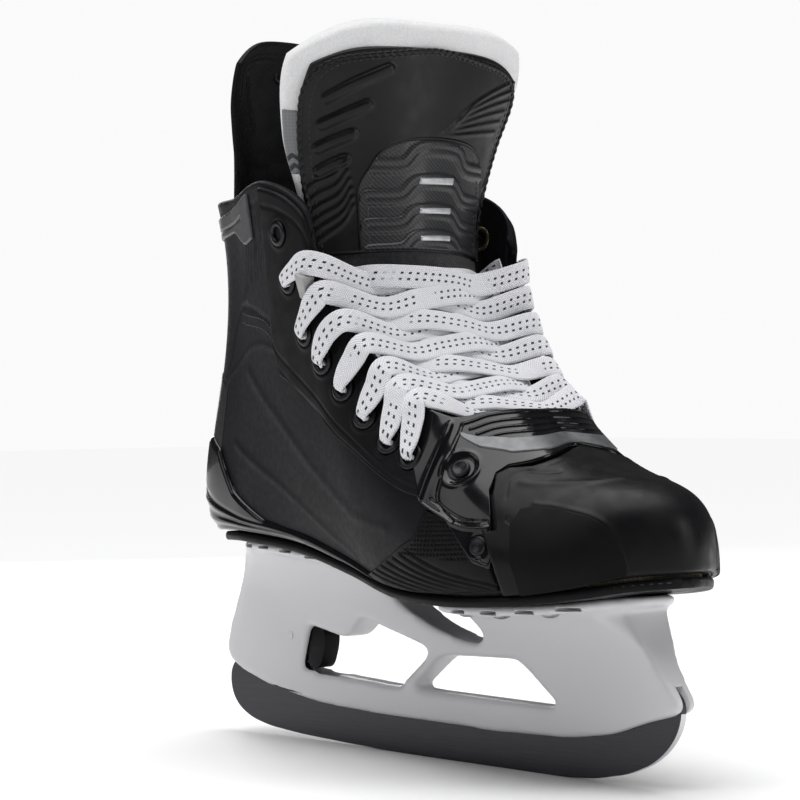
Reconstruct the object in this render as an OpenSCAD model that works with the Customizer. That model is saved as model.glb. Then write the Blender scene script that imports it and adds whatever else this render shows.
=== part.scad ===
// Ice hockey skate for a right foot: boot, tongue, tendon guard, blade holder and removable runner.
// X points forward to the toe, Y to the inner side of the foot, Z up. The ice is at Z = 0 and
// the origin is the middle of the runner's flat, straight under the front of the ankle.

/* [Boot] */
// Thickness of the quarter shell
shell_t = 2.8; // [2:0.1:3]
// Thickness of the soft lining
liner_t = 2.6; // [1.5:0.1:2.8]
// Thickness of the moulded toe cap
cap_t = 3.2; // [2:0.1:4]
// Thickness of the heel counter
counter_t = 2.2; // [1:0.1:3]
// Thickness of the eyelet facing
facing_t = 1.6; // [1:0.1:2]
// Thickness of the outsole
sole_t = 3.6; // [3:0.1:4.5]
// Thickness of the insole board
board_t = 2.4; // [1.5:0.1:2.8]

/* [Lacing] */
// Bore of each eyelet
eyelet_d = 5.6; // [5:0.1:6.4]
// Outer diameter of an eyelet's flange
eyelet_flange_d = 10.5; // [9:0.5:11]
// Width of the flat lace
lace_w = 7.6; // [6:0.1:8]
// Thickness of the flat lace
lace_t = 1.4; // [1:0.1:1.6]

/* [Tongue and guard] */
// Thickness of the white felt in the tongue
felt_t = 8; // [5:0.5:9]
// Thickness of the moulded cover on the felt
cover_t = 2; // [1:0.1:2.4]
// Thickness of the tendon guard
guard_t = 2.2; // [1.5:0.1:2.4]

/* [Holder and runner] */
// Thickness of the steel runner
runner_t = 3; // [2.8:0.1:3.2]
// Width of the slot that takes the runner
slot_w = 3.8; // [3.6:0.1:4]
// Thickness of the holder's mounting flanges
flange_t = 4; // [3:0.5:5]
// Diameter of a holder rivet's shank
rivet_d = 4; // [3:0.5:4.5]
// Diameter of a holder rivet's head
rivet_head_d = 8; // [7:0.5:9]
// Diameter of the trigger's pin
pin_d = 3; // [2.5:0.1:3.4]

/* [Hidden] */
$fn = 48;
gap = 0.15;
// Room between two layers of the boot
layer_gap = 0.5;
fit_gap = 0.05;

// Boot skin. Each row is one rib from the sole to the top edge, from the heel's back to the toe's tip.
// A rib is a cubic curve with four handles, each [forward, half width, height].
RIBS = [
    [[-124, 0, 88.5], [-146, 0, 107], [-98, 0, 164], [-119, 0, 231]],
    [[-114, 22, 89.5], [-134, 34, 106], [-88.5, 25, 165], [-110, 29, 231]],
    [[-88, 32, 90], [-90, 43, 107], [-73, 33, 164], [-80, 44, 231]],
    [[-48, 34, 86.5], [-46, 48, 110], [-44, 45, 166], [-44, 57, 235]],
    [[-12, 37, 79.5], [-8, 54, 102], [-18, 50, 156], [-15, 57, 223]],
    [[24, 44, 72.5], [22, 58, 92], [2, 52, 140], [-8, 52, 193]],
    [[58, 48, 71], [58, 60, 90], [40, 54, 108], [20, 42, 158]],
    [[90, 46, 72.5], [92, 56, 90], [76, 49, 104], [47, 37, 141]],
    [[116, 37, 75.5], [119, 44, 99], [97, 36, 101], [57, 25, 142]],
    [[131, 22, 78.5], [134, 25, 124], [110, 22, 97], [60, 12, 143]],
    [[140, 0, 79.5], [148, 0, 130], [94, 0, 101], [61, 0, 143]]
];
// The inner side's half width at the sole and above it, as a share of the outer side's
ARCH = [1, 1, 0.95, 0.82, 0.8, 0.84, 0.9, 0.96, 0.97, 0.97, 1];
// The inner side's half width above the sole, as a further share
INNER = [1, 1, 1, 0.97, 0.95, 0.96, 0.93, 0.87, 0.82, 0.85, 1];
last_rib = len(RIBS) - 1;

// Tongue. Each row is [forward, height, half width, sweep back at its edges] along the middle.
TONGUE = [
    [66, 126, 25, 4, 0], [50, 135, 28, 5, 0], [34, 145, 30, 6, 0], [18, 157, 33, 8, 0],
    [5, 172, 36, 11, 0],
    [-4, 188, 40, 15, 0], [-8, 206, 44, 19, 0], [-9, 226, 48, 20, 0], [-8, 250, 57, 21, 1],
    [-5, 276, 63, 17, 3], [-2, 300, 57, 12, 4.5]
];
// Tendon guard above the collar, rows as in the tongue
GUARD = [
    [-114, 233, 27, 13],
    [-112, 252, 28.5, 13],
    [-108, 272, 30, 9],
    [-104, 289, 28, 6],
    [-101, 302, 23, 4]
];

// Eyelets from the toe up: [rib, place along the rib, rib of the nearest point on the facing's edge]
EYELETS = [
    [6.25, 0.76, 6.6], [5.9, 0.76, 6.3], [5.55, 0.76, 6], [5.2, 0.76, 5.7], [4.65, 0.74, 5.45],
    [3.95, 0.73, 5.15], [3.6, 0.82, 4.85], [3.45, 0.91, 4.3]
];
laced = 7;
// Tongue row under each laced eyelet pair
LACE_ROWS = [1.2, 1.9, 2.6, 3.3, 3.9, 4.5, 5.3];
tongue_split = 5.95;

// Holder rivets: [forward, half spacing]
REAR_RIVETS = [[-103, 13], [-76, 18], [-42, 19]];
FRONT_RIVETS = [[46, 25], [68, 27], [92, 24], [108, 15]];
// Flanges: [forward, half width, height of the top]
REAR_FLANGE = [
    [-120, 5, 85], [-116, 11, 85.2], [-108, 17, 85.5], [-90, 23, 85.8], [-60, 26, 84], [-38, 25, 80.7],
    [-31, 20, 78.9]
];
FRONT_FLANGE = [
    [27, 20, 67.6], [30, 26, 67.2], [36, 31, 66.8], [50, 34, 66.3], [75, 34, 67.1], [100, 29, 69.1],
    [112, 21.5, 70.9], [119, 15, 71.8], [125, 7, 72.6]
];

grommet_x = -104;
grommet_z = 287;
grommet_d = 5.2;
bridge_t = 2.6;
// Height of an eyelet's flange above the skin
flange_z = facing_t + layer_gap + 0.3;
pin_x = -90;
pin_z = 45;
rail_hw = 4.6;
cavity_hw = 4.4;

// ---- curves and surfaces ----

function lerp(a, b, u) = a + (b - a) * u;
function unit(v) = v / norm(v);
function flip(p) = [p[0], -p[1], p[2]];
// Smooth curve through b and c, with a and d beyond them
function through(a, b, c, d, u) =
    0.5 * (2 * b + (c - a) * u + (2 * a - 5 * b + 4 * c - d) * u * u + (3 * b - a - 3 * c + d) * u * u * u);
// Value at x along a list of [x, value] pairs
function along(list, x) =
    x <= list[0][0] ? list[0][1] :
    x >= list[len(list) - 1][0] ? list[len(list) - 1][1] :
    let (i = max([for (k = [0:len(list) - 2]) if (list[k][0] <= x) k]))
    lerp(list[i][1], list[i + 1][1], (x - list[i][0]) / (list[i + 1][0] - list[i][0]));

// Handle k of rib i, side -1 outer or 1 inner; past the heel and the toe it comes round the other side
function handle(side, i, k) =
    i < 0 ? flip(handle(side, -i, k)) :
    i > last_rib ? flip(handle(side, 2 * last_rib - i, k)) :
    let (narrow = side < 0 ? 1 : k == 0 ? ARCH[i] : INNER[i] * (k == 1 ? lerp(1, ARCH[i], 0.7) : 1))
    [RIBS[i][k][0], side * RIBS[i][k][1] * narrow, RIBS[i][k][2]];
function rail(side, s, k) =
    let (i = min(last_rib - 1, floor(s)))
    through(
        handle(side, i - 1, k), handle(side, i, k), handle(side, i + 1, k), handle(side, i + 2, k), s - i
    );
function rib_point(side, s, t) =
    let (m = 1 - t)
    m * m * m * rail(side, s, 0) + 3 * m * m * t * rail(side, s, 1)
        + 3 * m * t * t * rail(side, s, 2) + t * t * t * rail(side, s, 3);
// The boot's skin: w runs from 0 at the heel's back to 10 at the toe along the outer side,
// on past 10 back along the inner side, and below 0 from the heel along the inner side
boot = function (w, t)
    w < 0 ? rib_point(1, -w, t) : w > last_rib ? rib_point(1, 2 * last_rib - w, t) : rib_point(-1, w, t);

// Row of a list of [x, z, half width, sweep, shift to the side]
function row(list, v) =
    let (n = len(list) - 1, i = max(0, min(n - 1, floor(v))),
        before = i == 0 ? 2 * list[0] - list[1] : list[i - 1],
        after = i == n - 1 ? 2 * list[n] - list[n - 1] : list[i + 2])
    through(before, list[i], list[i + 1], after, v - i);
function swept(list, a, v, face) =
    let (e = 0.05, here = row(list, v), ahead = row(list, v + e))
    let (run = unit([ahead[0] - here[0], ahead[1] - here[1]]))
    [here[0] - run[1] * here[3] * a * a, a * here[2] * face + here[4], here[1] + run[0] * here[3] * a * a];
tongue = function (a, v) swept(TONGUE, a, v, 1);
// The guard's hollow side looks forward
guard = function (a, v)
    let (here = row(GUARD, v)) [here[0] + here[3] * a * a, -a * here[2], here[1]];

// Point of surface f at depth d, outward positive
function off(f, u, v, d) =
    let (e = 0.01, du = f(u + e, v) - f(u - e, v), dv = f(u, v + e) - f(u, v - e))
    f(u, v) + unit(cross(du, dv)) * d;

// Closed piece between depths d0 and d1 over u in list U and v from low(u) to high(u) in n steps
module skin(f, U, n, low, high, d0, d1) {
    m = len(U);
    k = n + 1;
    id = function (layer, i, j) layer * m * k + i * k + j;
    points = [for (d = [d0, d1]) for (u = U) for (j = [0:n]) off(f, u, lerp(low(u), high(u), j / n), d)];
    outer = [for (i = [0:m - 2]) for (j = [0:n - 1]) for (half = [0, 1])
        half == 0 ? [id(1, i, j), id(1, i, j + 1), id(1, i + 1, j + 1)]
                  : [id(1, i, j), id(1, i + 1, j + 1), id(1, i + 1, j)]];
    inner = [for (i = [0:m - 2]) for (j = [0:n - 1]) for (half = [0, 1])
        half == 0 ? [id(0, i, j), id(0, i + 1, j + 1), id(0, i, j + 1)]
                  : [id(0, i, j), id(0, i + 1, j), id(0, i + 1, j + 1)]];
    // The rim, once round the outer layer's border in the direction that faces out
    border = concat([for (i = [0:m - 1]) [i, 0]], [for (j = [1:n]) [m - 1, j]],
        [for (i = [m - 2:-1:0]) [i, n]], [for (j = [n - 1:-1:1]) [0, j]]);
    b = len(border);
    rim = [for (q = [0:b - 1]) for (half = [0, 1])
        let (p = border[q], r = border[(q + 1) % b])
        half == 0 ? [id(1, p[0], p[1]), id(1, r[0], r[1]), id(0, r[0], r[1])]
                  : [id(1, p[0], p[1]), id(0, r[0], r[1]), id(0, p[0], p[1])]];
    polyhedron(points, concat(outer, inner, rim), convexity = 6);
}

// List of n + 1 values from a to b
function steps(a, b, n) = [for (i = [0:n]) lerp(a, b, i / n)];

// Closed plate from rows of [x, y low, y high, z low, z high]
module plate(rows) {
    n = len(rows);
    points = [for (r = rows) for (p = [[r[1], r[3]], [r[2], r[3]], [r[2], r[4]], [r[1], r[4]]])
        [r[0], p[0], p[1]]];
    sides = [for (i = [0:n - 2]) for (k = [0:3]) for (half = [0, 1])
        let (a = 4 * i + k, b = 4 * i + (k + 1) % 4)
        half == 0 ? [a, a + 4, b + 4] : [a, b + 4, b]];
    e = 4 * (n - 1);
    ends = [[0, 1, 2], [0, 2, 3], [e + 2, e + 1, e], [e + 3, e + 2, e]];
    polyhedron(points, concat(sides, ends), convexity = 4);
}

// Sole-shaped plate: inset from the sole's outline, between two heights above it
module sole_plate(from, to, n, inset, z0, z1) {
    plate([for (s = steps(from, to, n))
        let (o = rail(-1, s, 0), i = rail(1, s, 0))
        [o[0], min(-1, o[1] + inset), max(1, i[1] - inset), o[2] + z0, o[2] + z1]]);
}

// Puts Z along the skin's outward normal at [w, t]
module on_boot(w, t) {
    p = boot(w, t);
    n = off(boot, w, t, 1) - p;
    translate(p) rotate([0, acos(n[2]), atan2(n[1], n[0])]) children();
}
module ring(r_in, r_out, z0, z1) {
    rotate_extrude() translate([r_in, z0]) square([r_out - r_in, z1 - z0]);
}
// Bores for the eight eyelets, side 1 outer or -1 inner
module eyelet_bores(side) {
    for (e = EYELETS) on_boot(side * e[0], e[1]) cylinder(d = eyelet_d + 2.2, h = 14, center = true);
}

// ---- boot ----

module quarter(side) {
    U = side > 0 ? steps(0.03, 7.6, 26) : steps(-7.6, -0.03, 26);
    difference() {
        skin(boot, U, 12, function (w) 0.01, function (w) 1, -shell_t, 0);
        eyelet_bores(side);
    }
}
module quarter_lateral() { color("#26272b") quarter(1); }
module quarter_medial() { color("#26272b") quarter(-1); }

module toe_box() {
    color("#1d1d20") skin(boot, steps(7.63, 12.37, 20), 11, function (w) 0.01, function (w) 1, -shell_t, 0);
}

cap_top = function (w)
    along([[7.5, 0.6], [8, 0.76], [9, 0.86], [10, 0.89], [11, 0.86], [12, 0.76], [12.5, 0.6]], w);
module toe_cap() {
    color("#17171a") skin(boot, steps(7.5, 12.5, 24), 9, function (w) 0.02, cap_top, layer_gap, cap_t);
}

bridge_low = function (w) let (s = w > 10 ? 20 - w : w)
    along([[6.85, 0.22], [7.2, 0.2], [7.5, 0.64], [8, 0.79], [9, 0.885], [10, 0.915]], s);
module toe_bridge() {
    U = concat(steps(6.85, 7.5, 8), steps(7.7, 12.3, 18), steps(12.5, 13.15, 8));
    color("#111113") difference() {
        skin(boot, U, 8, bridge_low, function (w) 0.985, layer_gap, bridge_t);
        for (p = bridge_rivet_places) on_boot(p[0], p[1]) cylinder(d = 3.2, h = 12, center = true);
    }
}
bridge_rivet_places = [[7.1, 0.76], [7.12, 0.34], [12.9, 0.76], [12.88, 0.34]];
module bridge_rivets() {
    color("#2b2b2e") for (p = bridge_rivet_places) on_boot(p[0], p[1]) {
        translate([0, 0, layer_gap]) cylinder(d = 3, h = bridge_t);
        translate([0, 0, bridge_t + layer_gap]) cylinder(d = 7, h = 1);
    }
}

facing_low = function (w) along([[3, 0.66], [3.2, 0.58], [4.4, 0.54], [6.4, 0.6]], abs(w));
module facing(side) {
    U = side > 0 ? steps(3.02, 6.42, 16) : steps(-6.42, -3.02, 16);
    difference() {
        skin(boot, U, 6, facing_low, function (w) 0.995, layer_gap, layer_gap + facing_t);
        eyelet_bores(side);
    }
}
module facing_lateral() { color("#202024") facing(1); }
module facing_medial() { color("#202024") facing(-1); }

module eyelets(side) {
    for (e = EYELETS) on_boot(side * e[0], e[1]) {
        ring(eyelet_d / 2, eyelet_d / 2 + 0.9, -shell_t - layer_gap, flange_z + 0.1);
        ring(eyelet_d / 2, eyelet_flange_d / 2, flange_z, flange_z + 0.6);
    }
}
module eyelets_lateral() { color("#1a1a1c") eyelets(1); }
module eyelets_medial() { color("#1a1a1c") eyelets(-1); }

module vent_panel(side) {
    U = side > 0 ? steps(4.3, 6.4, 10) : steps(-6.4, -4.3, 10);
    skin(boot, U, 4, function (w) 0.02, function (w) 0.18 + 0.32 * (abs(w) - 4.3) / 2.1, layer_gap, 1.5);
}
module vent_panel_lateral() { color("#1c1c1f") vent_panel(1); }
module vent_panel_medial() { color("#1c1c1f") vent_panel(-1); }

counter_top = function (w) along([[0, 0.36], [1, 0.28], [2, 0.16], [3, 0.1], [4.2, 0.07]], abs(w));
module heel_counter() {
    color("#101012")
        skin(boot, steps(-4.2, 4.2, 28), 6, function (w) 0.025, counter_top, layer_gap, counter_t);
}
module heel_strip() {
    color("#77787c") skin(boot, steps(-0.8, 0.8, 8), 6, function (w) 0.42, function (w) 0.8, layer_gap, 1);
}
module collar_panels() {
    color("#a9abb0") for (side = [-1, 1])
        skin(boot, side > 0 ? steps(0.35, 2.3, 6) : steps(-2.3, -0.35, 6), 3,
            function (w) 0.86 + 0.03 * abs(w), function (w) 0.985, layer_gap + 0.2, 1.3);
}

module lace_lock(side) {
    on_boot(side * 4.24, 0.86) translate([0, 0, facing_t + layer_gap + 0.2]) rotate([0, 0, 25 * side]) difference() {
        translate([-2.2, -5.5, 0]) cube([4.4, 11, 7]);
        translate([-3, side > 0 ? -6 : 6, 2.5]) rotate([28 * side, 0, 0]) translate([0, side > 0 ? 0 : -20, 0])
            cube([6, 20, 12]);
    }
}
module lace_lock_lateral() { color("#9a9b98") lace_lock(1); }
module lace_lock_medial() { color("#9a9b98") lace_lock(-1); }

liner_top = function (w) abs(w) < 3 ? 0.97 : along([[3, 0.97], [3.05, 0.62], [3.4, 0.55], [4.4, 0.5], [6.3, 0.55],
    [7.6, 0.6]], abs(w));
module liner(side) {
    U = side > 0
        ? concat(steps(0.05, 2.98, 12), steps(3.1, 7.5, 14))
        : concat(steps(-7.5, -3.1, 14), steps(-2.98, -0.05, 12));
    skin(boot, U, 8, function (w) 0.07, liner_top, -shell_t - layer_gap - liner_t, -shell_t - layer_gap);
}
module liner_lateral() { color("#3a3a3e") liner(1); }
module liner_medial() { color("#3a3a3e") liner(-1); }

pad_depth = -shell_t - liner_t - 2 * layer_gap;
module ankle_pads() {
    color("#313135") for (side = [-1, 1])
        skin(boot, side > 0 ? steps(1.9, 3, 5) : steps(-3, -1.9, 5), 4,
            function (w) 0.4, function (w) 0.64, pad_depth - 5, pad_depth);
}
module collar_pad() {
    color("#2c2c30") skin(boot, steps(-2.8, 2.8, 18), 3, function (w) 0.78, function (w) 0.965, pad_depth - 9,
        pad_depth - guard_t - 2 * layer_gap);
}

module outsole() {
    color("#151517") difference() {
        sole_plate(0.06, 9.94, 28, -1.2, -sole_t - gap, -gap);
        holder_rivet_bores();
    }
}
module insole_board() {
    color("#5b5348") difference() {
        sole_plate(0.6, 9.1, 24, 5, gap, board_t);
        holder_rivet_bores();
    }
}
module footbed() {
    color("#4a4b52") sole_plate(0.8, 9, 22, 9, board_t + 2.4, board_t + 6.4);
}

// ---- tongue and tendon guard ----

felt_top = function (a) 10 - 0.3 * pow(a, 4) - 0.45 * pow(max(0, -a), 5);
module tongue_lower() {
    color("#26262a")
        skin(tongue, steps(-1, 1, 10), 12, function (a) 0, function (a) tongue_split - 0.25, -5, 0);
}
module tongue_felt() {
    color("#e9e9ea") skin(tongue, steps(-1, 1, 14), 12, function (a) tongue_split, felt_top, -felt_t, 0);
}
cover_side = 0.84;
module tongue_cover() {
    color("#141416") skin(tongue, steps(-cover_side, cover_side, 12), 10, function (a) tongue_split + 0.02,
        function (a) 9.3 - 0.6 * a * a * a * a, gap, gap + cover_t);
}
module tongue_insert() {
    color("#3d3e41") skin(tongue, steps(-0.42, 0.42, 8), 6, function (a) tongue_split + 0.1,
        function (a) 8 - 1.6 * a * a, 2 * gap + cover_t, cover_t + 1.6);
}
module tongue_bars() {
    color("#c3c5c8") for (v = [6.35, 6.85, 7.35])
        skin(tongue, steps(-0.12, 0.12, 2), 1, function (a) v - 0.06, function (a) v + 0.06, cover_t + 1.75,
            cover_t + 2.5);
}
module tongue_label() {
    color("#77787c")
        skin(tongue, steps(-0.99, -cover_side - 0.03, 3), 3, function (a) 7.5, function (a) 8.3, gap, 0.7);
}

module guard_base() {
    color("#161618") skin(boot, steps(-1.3, 1.3, 10), 4, function (w) 0.8, function (w) 0.985,
        pad_depth - guard_t, pad_depth);
}
guard_top = function (a) 4 - 0.2 * a * a - 0.7 * pow(a, 6);
module tendon_guard() {
    color("#161618") difference() {
        skin(guard, steps(-1, 1, 12), 10, function (a) 0.05, guard_top, -guard_t, 0);
        guard_hole();
    }
}
// Round hole near the guard's top, for its grommet
module guard_hole() {
    translate([grommet_x, 0, grommet_z]) rotate([0, 90, 0]) cylinder(d = grommet_d + 0.2, h = 16, center = true);
}
module guard_grommet() {
    color("#8a8a8c") translate([grommet_x, 0, grommet_z]) rotate([0, 90, 0])
        ring(grommet_d / 2 - 0.9, grommet_d / 2, -1.6, 2.4);
}

// ---- lace ----

// Places where one strand leaves eyelet i on a side, crosses the tongue and goes in at eyelet i + 1 opposite;
// lift keeps the two strands of each crossing clear. Each place is [point, outward, width share].
function eye(side, i) = [side * EYELETS[i][0], EYELETS[i][1]];
function to_edge(side, i, share) =
    [side * lerp(EYELETS[i][0], EYELETS[i][2], share), lerp(EYELETS[i][1], 1, share)];
function boot_place(q, d, width) =
    let (place = off(boot, q[0], q[1], d))
    [place, off(boot, q[0], q[1], d + 1) - place, width];
function tongue_place(a, v, d) = [off(tongue, a, v, d), off(tongue, a, v, d + 1) - off(tongue, a, v, d), 1];
function rise(side, i) = [
    boot_place(eye(side, i), -shell_t - 3.6, 0.45),
    boot_place(eye(side, i), -1, 0.42),
    boot_place(eye(side, i), facing_t + 3.2, 0.45),
    boot_place(to_edge(side, i, 0.25), facing_t + 3.7, 0.8),
    boot_place(to_edge(side, i, 0.6), facing_t + 4.2, 1),
    boot_place(to_edge(side, i, 0.92), facing_t + 4.8, 1)
];
function cross_over(side, i, lift) = [
    tongue_place(-side * 0.62, lerp(LACE_ROWS[i], LACE_ROWS[i + 1], 0.2), 4.5 + lift),
    tongue_place(-side * 0.25, lerp(LACE_ROWS[i], LACE_ROWS[i + 1], 0.38), 2.4 + lift),
    tongue_place(side * 0.25, lerp(LACE_ROWS[i], LACE_ROWS[i + 1], 0.62), 2.4 + lift),
    tongue_place(side * 0.62, lerp(LACE_ROWS[i], LACE_ROWS[i + 1], 0.8), 2.6 + lift),
    boot_place(to_edge(-side, i + 1, 0.98), -shell_t - 4.4, 0.9),
    boot_place(to_edge(-side, i + 1, 0.6), -shell_t - 4.2, 0.8)
];

function strand(side, i, lift) = concat(rise(side, i), cross_over(side, i, lift));
function climb(side, lift) = [for (i = [0:laced - 2]) each strand(i % 2 == 0 ? side : -side, i, lift)];
function lace_end(side, lift) = concat(rise(side, laced - 1), [
    tongue_place(-side * 0.62, 5.3, 4.5 + lift),
    tongue_place(-side * 0.25, 5.35, 2.4 + lift),
    tongue_place(side * 0.25, 5.4, 2.4 + lift),
    tongue_place(side * 0.6, 5.45, 3.2 + lift),
    tongue_place(side * 0.8, 5.45, 3)
]);
function reversed(list) = [for (i = [len(list) - 1:-1:0]) list[i]];
LACE_PATH = concat(
    reversed(concat(climb(1, 0), lace_end(1, 0))),
    [for (a = [-0.95, -0.5, 0, 0.5, 0.95]) tongue_place(a, 1, 1.6)],
    concat(climb(-1, 2.2), lace_end(-1, 2.2)));

// Flat tube through places of [point, outward, width share]
module flat_tube(places) {
    n = len(places);
    sides = 8;
    points = [for (i = [0:n - 1])
        let (here = places[i][0], run = unit(places[min(n - 1, i + 1)][0] - places[max(0, i - 1)][0]),
            across = unit(cross(run, places[i][1])), up = cross(across, run),
            hw = lace_w / 2 * places[i][2], ht = lace_t / 2 / sqrt(places[i][2]))
        for (k = [0:sides - 1]) here + across * hw * cos(360 * k / sides) + up * ht * sin(360 * k / sides)];
    tube = [for (i = [0:n - 2]) for (k = [0:sides - 1]) for (half = [0, 1])
        let (a = sides * i + k, b = sides * i + (k + 1) % sides)
        half == 0 ? [a, b, b + sides] : [a, b + sides, a + sides]];
    caps = [[for (k = [sides - 1:-1:0]) k], [for (k = [0:sides - 1]) sides * (n - 1) + k]];
    polyhedron(points, concat(tube, caps), convexity = 10);
}
module lace() { color("#ececf0") flat_tube(LACE_PATH); }
module aglets() {
    n = len(LACE_PATH);
    color("#d8d8dc") for (q = [[0, 1], [n - 1, n - 2]]) {
        tip = LACE_PATH[q[0]][0];
        run = unit(tip - LACE_PATH[q[1]][0]);
        translate(tip + run * 0.2) rotate([0, acos(run[2]), atan2(run[1], run[0])]) cylinder(d = 2.4, h = 12);
    }
}

// ---- holder ----

module flange(rows) {
    plate([for (r = rows) [r[0], -r[1], r[1], r[2] - flange_t, r[2]]]);
}
// Side outline in [x, z] made solid across the holder
module side_cut(points, hw) {
    rotate([90, 0, 0]) linear_extrude(2 * hw, center = true) polygon(points);
}
// Outline across the holder, [half width, z] pairs upward, made solid from x0 to x1
module cross_cut(half, x0, x1) {
    outline = concat(half, [for (i = [len(half) - 1:-1:0]) [-half[i][0], half[i][1]]]);
    translate([x0, 0, 0]) rotate([90, 0, 90]) linear_extrude(x1 - x0) polygon(outline);
}
rear_side = [[-141, 35], [-136, 48], [-129, 60], [-122, 72], [-118, 84], [-32, 78.5], [-28, 72],
    [-12, 61], [4, 54.5],
    [20, 50.5], [36, 49], [36, 14], [20, 14.6], [-40, 15.2], [-75, 16.6], [-108, 21.4], [-130, 27.4]];
front_side = [[30, 49], [37, 52], [28, 65.2], [50, 65.2], [75, 65.9], [117, 70.2], [121, 62],
    [130, 46.5], [140.5, 33], [138, 29], [122, 25],
    [104, 19], [80, 15.4], [30, 14]];
window_1 = [[-84, 31], [-20.5, 28], [-18, 29.5], [0, 43], [-2, 45.5], [-40, 55], [-43, 54], [-50, 47],
    [-56, 46], [-78, 50]];
window_2 = [[-9, 28], [73, 27], [75, 28], [54, 43.5], [50, 44], [10, 42.8], [6, 41.5], [-10, 29.5]];
rear_section = [[4.2, 14], [rail_hw, 20], [5.4, 30], [6.4, 42], [7.6, 54], [9.5, 66], [14, 75],
    [19, 80], [22, 87]];
front_section = [[4.2, 14], [rail_hw, 20], [5.4, 30], [6.4, 42], [8.5, 52], [13, 60], [19, 66], [23, 73]];
// Plan of the holder's body: [forward, half width]
plan = [[-142, 4.6], [-130, 6.4], [-120, 9], [-110, 14], [-100, 19], [-85, 24], [95, 24], [104, 21],
    [112, 16], [119, 11.5],
    [128, 8.5], [141, 5.4]];
// Channel along the top of the beam between the two towers
beam_channel = [[-27, 68.5], [-12, 58.4], [4, 51.9], [20, 47.9], [33, 46.4], [36, 52], [24, 62],
    [-10, 76]];

module plan_cut() {
    linear_extrude(100) polygon(concat(plan, [for (i = [len(plan) - 1:-1:0]) [plan[i][0], -plan[i][1]]]));
}

module holder() {
    color("#f4f4f2") difference() {
        union() {
            intersection() {
                difference() {
                    side_cut(rear_side, 40);
                    side_cut(window_1, 50);
                    side_cut(window_2, 50);
                }
                cross_cut(rear_section, -150, 36);
                plan_cut();
            }
            intersection() {
                difference() {
                    side_cut(front_side, 40);
                    side_cut(window_2, 50);
                }
                cross_cut(front_section, 29, 150);
                plan_cut();
            }
            flange(REAR_FLANGE);
            flange(FRONT_FLANGE);
        }
        side_cut(beam_channel, 4);
        // Slot for the runner
        side_cut(slot_side, slot_w / 2);
        // Cavity for the trigger and the runner's rear hook
        side_cut([[-108, 20], [-108, 44], [-100, 52], [-76, 52], [-60, 49], [-60, 20]], cavity_hw);
        // Bore for the trigger's pin
        translate([pin_x, 0, pin_z]) rotate([90, 0, 0]) cylinder(d = pin_d, h = 60, center = true);
        holder_rivet_bores();
        // Recess round each rivet's head
        for (r = REAR_RIVETS) for (side = [-1, 1])
            translate([r[0], side * r[1], 60]) cylinder(d = rivet_head_d + 1, h = rear_seat(r[0]) - 60);
        for (r = FRONT_RIVETS) for (side = [-1, 1])
            translate([r[0], side * r[1], 44]) cylinder(d = rivet_head_d + 1, h = front_seat(r[0]) - 44);
    }
}
// Height at which a rivet's head bears on its flange
function seat(rows, x) = along([for (r = rows) [r[0], r[2]]], x) - flange_t + 1.2;
function rear_seat(x) = seat(REAR_FLANGE, x);
function front_seat(x) = seat(FRONT_FLANGE, x);
module holder_rivet_bores() {
    for (r = concat(REAR_RIVETS, FRONT_RIVETS)) for (side = [-1, 1])
        translate([r[0], side * r[1], 50]) cylinder(d = rivet_d, h = 60);
}
// Height of the insole board's top at x
BOARD = [for (s = steps(0.6, 9.1, 24)) [rail(-1, s, 0)[0], rail(-1, s, 0)[2] + board_t]];
module holder_rivets(places, rows) {
    for (r = places) for (side = [-1, 1]) {
        z0 = seat(rows, r[0]);
        z1 = along(BOARD, r[0]) + 0.7;
        translate([r[0], side * r[1], 0]) {
            translate([0, 0, z0 - 0.4]) cylinder(d = rivet_d, h = z1 - z0 + 0.8);
            translate([0, 0, z0 - 1.6]) cylinder(d = rivet_head_d, h = 1.6);
            translate([0, 0, z1]) cylinder(d = rivet_head_d - 2, h = 0.8);
        }
    }
}
module rivets_rear() { color("#a8a9ab") holder_rivets(REAR_RIVETS, REAR_FLANGE); }
module rivets_front() { color("#a8a9ab") holder_rivets(FRONT_RIVETS, FRONT_FLANGE); }

// ---- trigger and runner ----

trigger_side = [[-98, 46], [-94, 50], [-78, 49.5], [-72, 48.8], [-69.5, 46], [-70, 41], [-72.5, 34],
    [-75, 31.6],
    [-80, 31.4], [-81.5, 34], [-81.5, 38.5], [-84, 40], [-86, 38], [-90, 34], [-96, 31], [-101, 31],
    [-99, 40]];
module trigger() {
    color("#1b1b1d") difference() {
        intersection() {
            side_cut(trigger_side, 4);
            union() {
                translate([-110, -4, 20]) cube([60, 5.6, 40]);
                translate([-84, -4, 20]) cube([40, 8, 40]);
                translate([-110, -4, 20]) cube([60, 8, 16]);
            }
        }
        translate([pin_x, 0, pin_z]) rotate([90, 0, 0])
            cylinder(d = pin_d + 2 * fit_gap, h = 20, center = true);
    }
}
module trigger_pin() {
    color("#b9babd")
        translate([pin_x, 0, pin_z]) rotate([90, 0, 0]) cylinder(d = pin_d, h = 14, center = true);
}
// Close-wound coil beside the trigger, as rings in contact
module trigger_spring() {
    wire_d = 0.7;
    coil_r = 2.5;
    color("#9c9da0") translate([pin_x, 0, pin_z]) rotate([-90, 0, 0]) rotate_extrude()
        for (turn = [0:2]) translate([coil_r, 2.2 + 0.55 * turn]) circle(d = wire_d, $fn = 16);
}

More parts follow.
